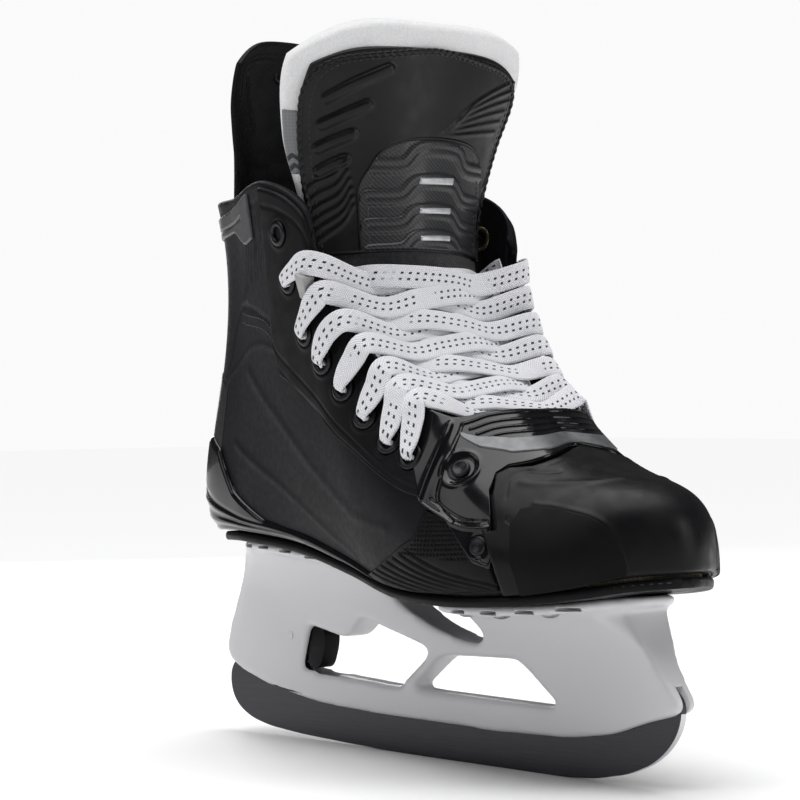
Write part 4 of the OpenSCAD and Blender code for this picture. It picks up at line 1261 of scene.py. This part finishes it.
def cover_relief(p, u, v):
    """Raised and sunk shapes of the tongue's cover."""
    a = u * along(COVER_SIDE, v)
    h = 0
    line = lambda q: trace(cover_face, on_cover(q))
    # raised slashes on the outer side
    for q in ([(-0.74, 8.62), (-0.58, 8.86), (-0.36, 9.14)], [(-0.77, 8.22), (-0.62, 8.4), (-0.48, 8.56)],
              [(-0.8, 7.86), (-0.7, 7.98), (-0.58, 8.1)], [(-0.82, 7.5), (-0.74, 7.6), (-0.64, 7.7)]):
        h = h + 1.1 * smooth((2.6 - near(p, line(q))) / 1.2)
    # contour lines that fall from the inner edge to the arch
    for k in range(6):
        q = [(0.86 - 0.02 * k, 9.15 - 0.17 * k), (0.62 - 0.02 * k, 8.95 - 0.14 * k),
             (0.4 - 0.02 * k, 8.7 - 0.1 * k), (0.26 - 0.03 * k, 8.42 - 0.05 * k)]
        h = h + bump(p, line(q), 0.6, 0.55)
    # curved ridges low on the outer side
    for k in range(6):
        q = [(-0.93, 7.2 - 0.19 * k), (-0.86, 7.32 - 0.19 * k),
             (-0.72, 7.46 - 0.17 * k), (-0.63, 7.68 - 0.15 * k)]
        h = h + bump(p, line(q), 0.75, 0.6)
    for k in range(5):
        q = [(0.95, 7.7 - 0.3 * k), (0.9, 7.62 - 0.3 * k), (0.86, 7.4 - 0.3 * k)]
        h = h + bump(p, line(q), 0.7, 0.5)
    # shallow field behind the arch
    q = (a - ARCH_MID) / along(ARCH_SIDE, v)
    h = h - 0.6 * smooth((1.0 - np.abs(q)) / 0.08) * smooth((arch_top(q) - v) / 0.06)
    return h


cover = shell("tongue_cover_shell", cover_face, (-1.0, 1.0), 5.98,
              lambda s: 9.55 - 0.12 * s ** 2 - 0.3 * s ** 6,
              -0.6, 2.0, cell=0.72, rim=1.5, relief=cover_relief)
bending(cover, "cover", ("tongue_cover",))


def cover_border(inset, n=220):
    """Line round the cover's free edge, from low on the outer side over the top."""
    t = np.linspace(0, 1, n)
    s = np.interp(t, [0, 0.34, 0.4, 0.6, 0.66, 1], [-1, -1, -0.86, 0.86, 1, 1])
    v = np.interp(t, [0, 0.34, 0.4, 0.5, 0.6, 0.66, 1], [6.0, 8.95, 9.27, 9.55, 9.27, 8.95, 6.0])
    s = s * (1 - inset)
    v = np.where(v > 6.05, v - inset * 0.9 * smooth((v - 8) / 1.2), v)
    return np.stack([s, v], -1)


def rope_line(places, f, d, smoothing=24):
    """Smoothed line on surface f: its trace, its points at depth d and their normals."""
    q = np.asarray(places, float)
    for _ in range(smoothing):
        q[1:-1] = 0.25 * q[:-2] + 0.5 * q[1:-1] + 0.25 * q[2:]
    line = resample(np.concatenate([f(q[:, 0], q[:, 1]), q], 1), 0.35)
    return line, *surface_line(f, line, d)


line, p, n = rope_line(cover_border(0.012), cover_face, 1.7)
TWIST_PITCH = 3.4
rope = tube("tongue_welt", p, n, 1.15, 0.95,
            twist=lambda s, a: 1 + 0.16 * np.cos(2 * a + 2 * math.pi * s / TWIST_PITCH))
bending(rope, "cover")

line, _, _ = rope_line(cover_border(0.07), cover_face, 2.0)
bending(stitches("tongue_cover_stitches", [(cover_face, line, 2.02)], 2.6, 1.8, 0.3), "thread_dark")


def arch_face(q, v):
    """The insert's surface: q runs from -1 to 1 across the arch."""
    return tongue(ARCH_MID + q * along(ARCH_SIDE, v), v)


def insert_relief(p, u, v):
    """Four chevron plates up the insert."""
    h = 0
    for k in range(4):
        v0 = 6.16 + 0.54 * k
        rise_to = [(0.26, v0 + 0.14), (0.5, v0 - 0.12), (0.9, v0 - 0.16)]
        line = trace(arch_face, [(-q, w) for q, w in rise_to[::-1]] + rise_to)
        h = h + 0.8 * smooth((3.4 - near(p, line, 9)) / 0.6) - bump(p, line, 0.5, 0.5)
    return h


insert = shell("tongue_insert_plate", arch_face, (-1, 1), 6.04, arch_top, 1.0, 2.35, cell=0.62, rim=0.9,
               relief=insert_relief)
bending(insert, "insert", ("tongue_insert",))
q = np.linspace(-1, 1, 160)
leg = np.linspace(6.05, arch_top(1.0), 60)
border = np.concatenate([np.stack([np.full(60, -1.0), leg], -1), np.stack([q, arch_top(q)], -1),
                         np.stack([np.full(60, 1.0), leg[::-1]], -1)])
line, p, n = rope_line(border, arch_face, 1.5, 40)
bending(tube("tongue_arch_rim", p, n, 0.8, 1.1, sides=10), "cover")
line, _, _ = rope_line(border * [0.9, 1] - [0, 0.06], arch_face, 2.3, 40)
bending(stitches("tongue_arch_stitches", [(arch_face, line, 2.4)], 2.4, 1.7, 0.28), "thread")

bars = []
for v in BARS:
    low = lambda a, v=v: v - 0.085 + 0.06 * a
    high = lambda a, v=v: v + 0.05 + 0.1 * a
    bars.append(shell("part", tongue, (-0.07, 0.3), low, high, 1.8, 3.5, cell=0.5, rim=0.7))
bending(joined("tongue_silver_bars", bars), "bar_silver", ("tongue_bars",))

label = shell("tongue_label_patch", tongue, (-0.995, -0.83), 7.45, 8.4, -0.5, 0.75, cell=0.6, rim=0.5)
bending(label, "label", ("tongue_label",))

# ---- tendon guard ----

GUARD_THICK = 2.2
GROMMET = np.array([-104.0, 0, 287])
# Ribs that the guard's foot reaches on each side
BASE_W = 1.3


def guard_rows(a):
    """The guard's foot inside the collar, then its rows above it."""
    rows = [off(boot, BASE_W * a, np.full_like(a, t), PAD + 0.3) for t in (0.8, 0.86, 0.92, 0.965)]
    rows += [guard(a, np.full_like(a, v)) for v in (0.3, 0.65, 1.0, 1.5, 2.0, 2.5, 3.0, 3.5, 4.0)]
    return np.stack(rows)


def guard_face(a, v):
    """Whole guard: v runs 0 to 12, from its foot inside the collar to its top."""
    a, v = np.broadcast_arrays(np.asarray(a, float), np.asarray(v, float))
    shape = a.shape
    a, v = a.ravel(), v.ravel()
    rows = guard_rows(a)
    rows = np.concatenate([2 * rows[:1] - rows[1:2], rows, 2 * rows[-1:] - rows[-2:-1]])
    i = np.clip(np.floor(v).astype(int), 0, 11)
    k = np.arange(len(a))
    u = (v - i)[:, None]
    return through(rows[i, k], rows[i + 1, k], rows[i + 2, k], rows[i + 3, k], u).reshape(*shape, 3)


def guard_top(a):
    return 12 - 0.4 * a ** 2 - 1.4 * a ** 6


def guard_piece():
    """The guard's inside shows as much as its outside, so both get full detail."""
    span = np.linspace(-1, 1, 121)
    share = steps_at(90, 0.75) / 90
    a = np.repeat(span[:, None], len(share), 1)
    v = 0.02 + (guard_top(span)[:, None] - 0.02) * share[None]
    base, n = guard_face(a, v), normal(guard_face, a, v)
    su, sv = layer_uv(base)
    edge = np.minimum(np.minimum(su, su[-1:] - su), np.minimum(sv, sv[:, -1:] - sv))
    k = rounded(edge, 1.4)
    rim = 0.5 * np.exp(-((edge - 1.6) / 1.3) ** 2)
    grooves = 0
    for inset in (5.0, 7.0):
        grooves = grooves - 0.35 * np.exp(-((edge - inset) / 0.6) ** 2) * (v > 4)
    for side in (-1, 1):
        line = trace(guard_face, [(side * 0.72, 9.6), (side * 0.6, 8.4), (side * 0.42, 7.2)])
        grooves = grooves + bump(base, line, 0.7, -0.6)
    inner_h = grooves - 0.35 * smooth((edge - 8.5) / 1.0) * smooth((v - 5.2) / 0.6)
    outer_h = grooves
    for j in range(3):
        line = trace(guard_face, [(-0.7, 6.3 + 0.5 * j), (0, 6.0 + 0.5 * j), (0.7, 6.3 + 0.5 * j)])
        outer_h = outer_h + bump(base, line, 0.9, 0.6)
    half = GUARD_THICK / 2
    out = base + n * (-half + (half + rim * 0.6 + outer_h) * k)[..., None]
    inn = base + n * (-half - (half + rim * 0.6 + inner_h) * k)[..., None]
    return two_sided("tendon_guard_shell", out, inn, np.stack([su, sv], -1))


guard_shell = guard_piece()
cut(guard_shell, merged("cutter", [lathe(rod(2.6, 9), GROMMET, [1, 0, 0], 24)]))


def flexing(piece, material, replaces=()):
    """Tendon guard piece: gets its material, and its placement is baked into its own mesh."""
    dressed(piece, material)
    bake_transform(piece)
    if replaces:
        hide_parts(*replaces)
    return piece


flexing(guard_shell, "guard", ("guard_base", "tendon_guard"))
GROMMET_PROFILE = [[1.7, -2.6], [3.6, -2.7], [3.9, -2.3], [3.5, -1.9], [2.5, -1.8], [2.5, 0.9], [3.4, 1.0],
                   [3.8, 1.3], [3.4, 1.8], [1.7, 1.7]]
grommet = merged("guard_grommet_ring", [lathe(GROMMET_PROFILE, GROMMET, [1, 0, 0], 36)])
done(grommet, "rivet_dark", "guard", ("guard_grommet",))

# ---- lace ----

# Tongue's row under each laced eyelet pair
LACE_ROWS = [1.2, 1.9, 2.6, 3.3, 3.9, 4.5, 5.3]
LACED = 7


def mix(a, b, u):
    return a + (b - a) * u


def lace_place(f, u, v, d, width=1.0):
    """Place of the lace over surface f: its point, its upward direction and its share of full width."""
    u, v = np.array(u, float), np.array(v, float)
    n = normal(f, u, v)
    return np.concatenate([f(u, v) + n * d, n, [width]])


def boot_place(w, t, d, width):
    return lace_place(boot, w, t, d, width)


def tongue_place(a, v, d):
    return lace_place(tongue, a, v, d)


def to_edge(side, i, share):
    """Place between an eyelet and the facing's edge."""
    e = EYELETS[i]
    return side * mix(e[0], e[2], share), mix(e[1], 1, share)


def rise(side, i):
    """Out of an eyelet and over the facing to its edge."""
    w, t = side * EYELETS[i][0], EYELETS[i][1]
    return [boot_place(w, t, -6.4, 0.45), boot_place(w, t, -1, 0.42), boot_place(w, t, FACING_T + 3.2, 0.5),
            boot_place(*to_edge(side, i, 0.25), FACING_T + 3.7, 0.84),
            boot_place(*to_edge(side, i, 0.6), FACING_T + 4.2, 1),
            boot_place(*to_edge(side, i, 0.92), FACING_T + 4.8, 1)]


def cross_over(side, i, lift):
    """Over the tongue and under the opposite facing, towards the next eyelet."""
    r = lambda u: mix(LACE_ROWS[i], LACE_ROWS[i + 1], u)
    return [tongue_place(-side * 0.62, r(0.2), 4.5 + lift), tongue_place(-side * 0.25, r(0.38), 2.4 + lift),
            tongue_place(side * 0.25, r(0.62), 2.4 + lift), tongue_place(side * 0.62, r(0.8), 2.6 + lift),
            boot_place(*to_edge(-side, i + 1, 0.98), -7.2, 0.9),
            boot_place(*to_edge(-side, i + 1, 0.6), -7.0, 0.8)]


def climb(side, lift):
    """One half of the lace, from the lowest eyelet pair to the tucked end."""
    out = []
    for i in range(LACED - 1):
        s = side if i % 2 == 0 else -side
        out += rise(s, i) + cross_over(s, i, lift)
    return out + rise(side, LACED - 1) + [
        tongue_place(-side * 0.62, 5.3, 4.5 + lift), tongue_place(-side * 0.25, 5.35, 2.4 + lift),
        tongue_place(side * 0.25, 5.4, 2.4 + lift), tongue_place(side * 0.6, 5.45, 3.2 + lift),
        tongue_place(side * 0.8, 5.45, 3)]


first_bar = [tongue_place(a, 1, 1.6) for a in (-0.95, -0.5, 0, 0.5, 0.95)]
route = np.array(climb(1, 0)[::-1] + first_bar + climb(-1, 2.2))


def centripetal(p, n=10):
    """Smooth curve that doesn't swing wide between uneven points."""
    full = np.concatenate([[2 * p[0] - p[1]], p, [2 * p[-1] - p[-2]]])
    knots = np.concatenate([[0], np.cumsum(np.linalg.norm(np.diff(full[:, :3], axis=0), axis=1) ** 0.5)])
    out = []
    for i in range(1, len(full) - 2):
        t0, t1, t2, t3 = knots[i - 1:i + 3]
        t = np.linspace(t1, t2, n, endpoint=False)[:, None]
        a1 = ((t1 - t) * full[i - 1] + (t - t0) * full[i]) / (t1 - t0)
        a2 = ((t2 - t) * full[i] + (t - t1) * full[i + 1]) / (t2 - t1)
        a3 = ((t3 - t) * full[i + 1] + (t - t2) * full[i + 2]) / (t3 - t2)
        b1 = ((t2 - t) * a1 + (t - t0) * a2) / (t2 - t0)
        b2 = ((t3 - t) * a2 + (t - t1) * a3) / (t3 - t1)
        out.append(((t2 - t) * b1 + (t - t1) * b2) / (t2 - t1))
    out.append(p[-1:])
    return np.concatenate(out)


way = resample(centripetal(route), 0.7)
LACE_HALF, LACE_THICK = 4.9, 0.765
share = way[:, 6]
up = way[:, 3:6] / np.linalg.norm(way[:, 3:6], axis=1, keepdims=True)
# the weave narrows and thickens where it is gathered into an eyelet
lace = tube("lace_band", way[:, :3], up, LACE_HALF * share, LACE_THICK / np.sqrt(share), sides=20, square=3.2)
done(lace, "lace", replaces=("lace",))
AGLET_PROFILE = [[0, 0.1], [1.2, 0.1], [1.25, 6], [1.2, 11.6], [0.9, 12.1], [0, 12.2]]
tips = [lathe(AGLET_PROFILE, way[end, :3], way[end, :3] - way[before, :3], 20)
        for end, before in ((0, 3), (-1, -4))]
done(merged("lace_aglets", tips), "aglet", replaces=("aglets",))

# ---- lace locks ----

LOCK_SIDE = [[-5.4, 0], [5.2, 0], [5.4, 1.2], [-4.2, 6.6], [-5.4, 6.6]]
LOCK_TURN = math.radians(-25)
for side, node in ((1, "lace_lock_lateral"), (-1, "lace_lock_medial")):
    w, t = np.array(side * 4.24), np.array(0.86)
    origin, n = skin_place(w, t)
    down = boot(w, t - 0.02) - boot(w, t + 0.02)
    down /= np.linalg.norm(down)
    fore = np.cross(n, down)
    lock = prism("lock", outlined(LOCK_SIDE, 1.1), -2.6, 2.6)
    base = origin + n * (FACING_T + LAYER_GAP + 0.1)
    cos, sin = math.cos(LOCK_TURN), math.sin(LOCK_TURN)
    for vert in lock.data.vertices:
        x, y, z = (c / MM for c in vert.co)
        vert.co = Vector((base + down * (x * cos - y * sin) + fore * (x * sin + y * cos) + n * z) * MM)
    lock.data.update()
    beveled(lock, 0.55)
    lock.name = node + "_wedge"
    done(lock, "lock_grey", replaces=(node,))

# ---- holder ----

# Flanges: [forward, half width, height of the top]
REAR_FLANGE = [[-120, 5, 85], [-116, 11, 85.2], [-108, 17, 85.5], [-90, 23, 85.8], [-60, 26, 84],
               [-38, 25, 80.7], [-31, 20, 78.9]]
FRONT_FLANGE = [[27, 20, 67.6], [30, 26, 67.2], [36, 31, 66.8], [50, 34, 66.3], [75, 34, 67.1],
                [100, 29, 69.1], [112, 21.5, 70.9], [119, 15, 71.8], [125, 7, 72.6]]
# Outlines seen from the side: [forward, up]
REAR_SIDE = [[-141, 35], [-136, 48], [-129, 60], [-122, 72], [-118, 84], [-32, 78.5], [-28, 72], [-12, 61],
             [4, 54.5], [20, 50.5], [36, 49], [36, 14], [20, 14.6], [-40, 15.2], [-75, 16.6], [-108, 21.4],
             [-130, 27.4]]
FRONT_SIDE = [[30, 49], [37, 52], [28, 65.2], [50, 65.2], [75, 65.9], [117, 70.2], [121, 62], [130, 46.5],
              [140.5, 33], [138, 29], [122, 25], [104, 19], [80, 15.4], [30, 14]]
WINDOW_1 = [[-84, 31], [-20.5, 28], [-18, 29.5], [0, 43], [-2, 45.5], [-40, 55], [-43, 54], [-50, 47],
            [-56, 46], [-78, 50]]
WINDOW_2 = [[-9, 28], [73, 27], [75, 28], [54, 43.5], [50, 44], [10, 42.8], [6, 41.5], [-10, 29.5]]
BEAM_CHANNEL = [[-27, 68.5], [-12, 58.4], [4, 51.9], [20, 47.9], [33, 46.4], [36, 52], [24, 62], [-10, 76]]
RUNNER_SLOT = [[-150, 10], [-150, 31], [-137, 34.2], [-126, 34.6], [-108, 32.6], [-98, 36], [-82, 36],
               [-80, 28.6], [-60, 26], [-40, 25.2], [40, 24.6], [80, 25.3], [104, 29], [121, 34.6],
               [127, 38.8], [137, 39.4], [141, 37], [150, 36], [150, 10]]
TRIGGER_ROOM = [[-108, 20], [-108, 44], [-100, 52], [-76, 52], [-60, 49], [-60, 20]]
# Half sections: [half width, up]
REAR_SECTION = [[4.2, 14], [4.6, 20], [5.4, 30], [6.4, 42], [7.6, 54], [9.5, 66], [14, 75], [19, 80],
                [22, 87]]
FRONT_SECTION = [[4.2, 14], [4.6, 20], [5.4, 30], [6.4, 42], [8.5, 52], [13, 60], [19, 66], [23, 73]]
# Outline seen from above: [forward, half width]
PLAN = [[-142, 4.6], [-130, 6.4], [-120, 9], [-110, 14], [-100, 19], [-85, 24], [95, 24], [104, 21],
        [112, 16], [119, 11.5], [128, 8.5], [141, 5.4]]
REAR_RIVETS = [[-103, 13], [-76, 18], [-42, 19]]
FRONT_RIVETS = [[46, 25], [68, 27], [92, 24], [108, 15]]
FLANGE_T = 4


def section(half, x0, x1):
    """Bar with a mirrored cross section."""
    q = curve(half, 6)
    outline = np.concatenate([q, (q * [-1, 1])[::-1]])
    return prism("section", outline, x0, x1, "yz")


def side_solid(outline, hw, r=5):
    """Slab with a side outline whose corners are rounded."""
    return prism("side", outlined(outline, r), -hw, hw)


def flange(rows):
    """Plate under the sole that follows its height."""
    q = curve(rows, 8)
    outline = np.concatenate([np.stack([q[:, 0], q[:, 1]], -1), np.stack([q[:, 0], -q[:, 1]], -1)[::-1]])
    z = np.interp(outline[:, 0], q[:, 0], q[:, 2])
    return prism("flange", outline, z - FLANGE_T, z, "xy")


rear = cut(side_solid(REAR_SIDE, 40), section(REAR_SECTION, -150, 36.5), "INTERSECT")
front = cut(side_solid(FRONT_SIDE, 40), section(FRONT_SECTION, 29, 150), "INTERSECT")
half = curve(PLAN, 6)
plan = prism("plan", np.concatenate([half, (half * [1, -1])[::-1]]), 0, 100, "xy")
holder = cut(cut(rear, front, "UNION"), plan, "INTERSECT")
cut(holder, side_solid(BEAM_CHANNEL, 4.4, 2))
cut(holder, flange(REAR_FLANGE), "UNION")
cut(holder, flange(FRONT_FLANGE), "UNION")
cut(holder, side_solid(WINDOW_1, 50, 2.5))
cut(holder, side_solid(WINDOW_2, 50, 2.5))
remeshed(holder, 0.9, 26, 0.7)
bpy.context.view_layer.update()
cut(holder, side_solid(RUNNER_SLOT, 1.9, 1.5))
cut(holder, side_solid(TRIGGER_ROOM, 4.4, 2))


def rivet_seats(places, rows):
    """Centres of a flange's rivet heads."""
    level = along([[r[0], r[2]] for r in rows], [x for x, _ in places]) - FLANGE_T + 1.2
    return [np.array([x, side * y, z]) for (x, y), z in zip(places, level) for side in (1, -1)]


WELL_PROFILE = [[0, -16], [4.6, -16], [4.5, 0], [0, 0]]
seats = {"rivets_rear": rivet_seats(REAR_RIVETS, REAR_FLANGE),
         "rivets_front": rivet_seats(FRONT_RIVETS, FRONT_FLANGE)}
wells = [lathe(WELL_PROFILE, seat, [0, 0, 1], 32) for places in seats.values() for seat in places]
cut(holder, merged("wells", wells))
NOTCH_LENGTH, NOTCH_HEIGHT, NOTCH_DEPTH, NOTCH_DROP = 8.8, 1.5, 7.0, 2.1
for rows, places in ((REAR_FLANGE, (-104, -88, -70, -52)), (FRONT_FLANGE, (50, 68, 86, 104))):
    q = curve(rows, 8)
    for x in places:
        hw = np.interp(x, q[:, 0], q[:, 1])
        z = np.interp(x, q[:, 0], q[:, 2]) - NOTCH_DROP
        half = [NOTCH_LENGTH / 2, NOTCH_HEIGHT / 2]
        corners = np.array([[-1, -1], [1, -1], [1, 1], [-1, 1]]) * half + [x, z]
        for lo, hi in ((-60, NOTCH_DEPTH - hw), (hw - NOTCH_DEPTH, 60)):
            cut(holder, prism("notch", outlined(corners, 0.7), lo, hi))
smooth_shaded(holder)
holder.name = "holder_moulding"
done(holder, "holder_white", replaces=("holder",))

sole_line = rail(-1, np.linspace(0.6, 9.1, 80))


def rivet_profile(height):
    """Domed head below, shank up to a closed tail on the insole board."""
    head = [[0, -2.2], [1.6, -2.1], [2.6, -1.75], [3.5, -1.1], [3.95, -0.3], [4, 0], [2, 0.05]]
    tail = [[2, 2.4], [3, 2.45], [2.8, 3.1], [1.4, 3.4], [0, 3.45]]
    return (head + [[r, height + z] for r, z in tail])[::-1]


for node, places in seats.items():
    parts = [lathe(rivet_profile(along(sole_line[:, [0, 2]], seat[0]) - seat[2]), seat, [0, 0, 1], 28)
             for seat in places]
    done(merged(node + "_domed", parts), "rivet_steel", replaces=(node,))

# ---- trigger and runner ----

TRIGGER = [[-98, 46], [-94, 50], [-78, 49.5], [-72, 48.8], [-69.5, 46], [-70, 41], [-72.5, 34],
           [-75, 31.6], [-80, 31.4], [-81.5, 34], [-81.5, 38.5], [-84, 40], [-86, 38], [-90, 34],
           [-96, 31], [-101, 31], [-99, 40]]
SPRING_ROOM = [[-110, 36.2], [-84.2, 36.2], [-84.2, 60], [-110, 60]]
PIN = np.array([-90.0, 0, 45])
trigger = prism("trigger_lever", outlined(TRIGGER, 2.2), -3.95, 1.55)
cut(trigger, prism("part", outlined(TRIGGER, 2.2), -3.95, 3.95), "UNION")
cut(trigger, prism("room", SPRING_ROOM, 1.6, 8))
beveled(trigger, 0.6, 3, 30)
cut(trigger, merged("bore", [lathe(rod(1.55, 20), PIN, [0, 1, 0], 32)]))
done(trigger, "trigger_black", "trigger", ("trigger",))

RUNNER = [[-20, 0], [-56, 0.8], [-90, 2], [-112, 3.6], [-125, 6], [-134, 10], [-139, 15], [-141, 21],
          [-140.4, 27], [-137, 31], [-126, 32], [-108, 30], [-97, 29], [-94, 29.5], [-90, 33], [-86, 33],
          [-84, 28], [-75, 25], [-40, 23.6], [40, 23], [80, 23.7], [104, 27.4], [122, 33], [128, 37],
          [134, 37.5], [137.4, 34], [138.2, 29], [136, 22], [131, 15.5], [123, 9.5], [110, 4.4], [92, 1],
          [75, 0]]
runner = prism("runner_blade", outlined(RUNNER, 5, 6), -1.5, 1.5)
smooth_shaded(beveled(runner, 0.3, 2, 50), False)
done(runner, "runner_steel", "runner", ("runner",))
runner.data.materials.append(MATS["edge_steel"])
POLISH_HEIGHT = 29 * MM
for poly in runner.data.polygons:
    if abs(poly.normal.y) < 0.3 and poly.center.z < POLISH_HEIGHT and poly.normal.z < 0.5:
        poly.material_index = 1

# ---- nodes kept as they are ----

for node in ("trigger_pin", "trigger_spring"):
    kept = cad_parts[node]
    if len(kept.material_slots) == 0:
        kept.data.materials.append(MATS["pin_steel"])
    for place in kept.material_slots:
        place.material = MATS["pin_steel"]

# ---- floor and light ----

def floor_mesh(half=6000, n=25):
    """Broad floor in squares, level with the runner's flat."""
    x = np.linspace(-half, half, n)
    grid = np.stack([*np.meshgrid(x, x, indexing="ij"), np.zeros((n, n))], -1)
    return add_mesh("floor", grid.reshape(-1, 3), list(grid_faces(np.arange(n * n).reshape(n, n))))


floor = floor_mesh()
white = Nodes("floor_white", (0.93, 0.93, 0.93), 0.7, specular=0.1)
floor.data.materials.append(white.mat)

bpy.context.scene.view_settings.view_transform = "Standard"
world = bpy.data.worlds.new("studio")
bpy.context.scene.world = world
world.use_nodes = True
world_tree = world.node_tree
# the camera sees a white room, which lights the skate only faintly
room = world_tree.nodes["Background"]
room.inputs["Color"].default_value = (0.97, 0.985, 1, 1)
room.inputs["Strength"].default_value = 0.06
backdrop = world_tree.nodes.new("ShaderNodeBackground")
backdrop.inputs["Color"].default_value = (1, 1, 1, 1)
backdrop.inputs["Strength"].default_value = 0.96
seen = world_tree.nodes.new("ShaderNodeLightPath")
either = world_tree.nodes.new("ShaderNodeMixShader")
world_tree.links.new(seen.outputs["Is Camera Ray"], either.inputs[0])
world_tree.links.new(room.outputs[0], either.inputs[1])
world_tree.links.new(backdrop.outputs[0], either.inputs[2])
world_tree.links.new(either.outputs[0], world_tree.nodes["World Output"].inputs["Surface"])


def softbox(name, place, target, width, height, power):
    """Rectangular light that faces its target."""
    data = bpy.data.lights.new(name, "AREA")
    data.shape = "RECTANGLE"
    data.size, data.size_y = width, height
    data.energy = power
    lamp = bpy.data.objects.new(name, data)
    lamp.location = place
    lamp.rotation_euler = (Vector(target) - Vector(place)).to_track_quat("-Z", "Y").to_euler()
    bpy.context.scene.collection.objects.link(lamp)


sun = bpy.data.lights.new("overhead", "SUN")
sun.energy, sun.angle = 3.15, math.radians(60)
bpy.context.scene.collection.objects.link(bpy.data.objects.new("overhead", sun))
softbox("key", (-0.35, -1.25, 0.95), (0, 0, 0.12), 0.9, 0.7, 3.5)
softbox("side", (1.25, 0.75, 0.55), (0, 0, 0.12), 0.45, 0.9, 4)
softbox("rim", (-1.1, 0.5, 0.6), (0, 0, 0.15), 0.4, 0.9, 4)
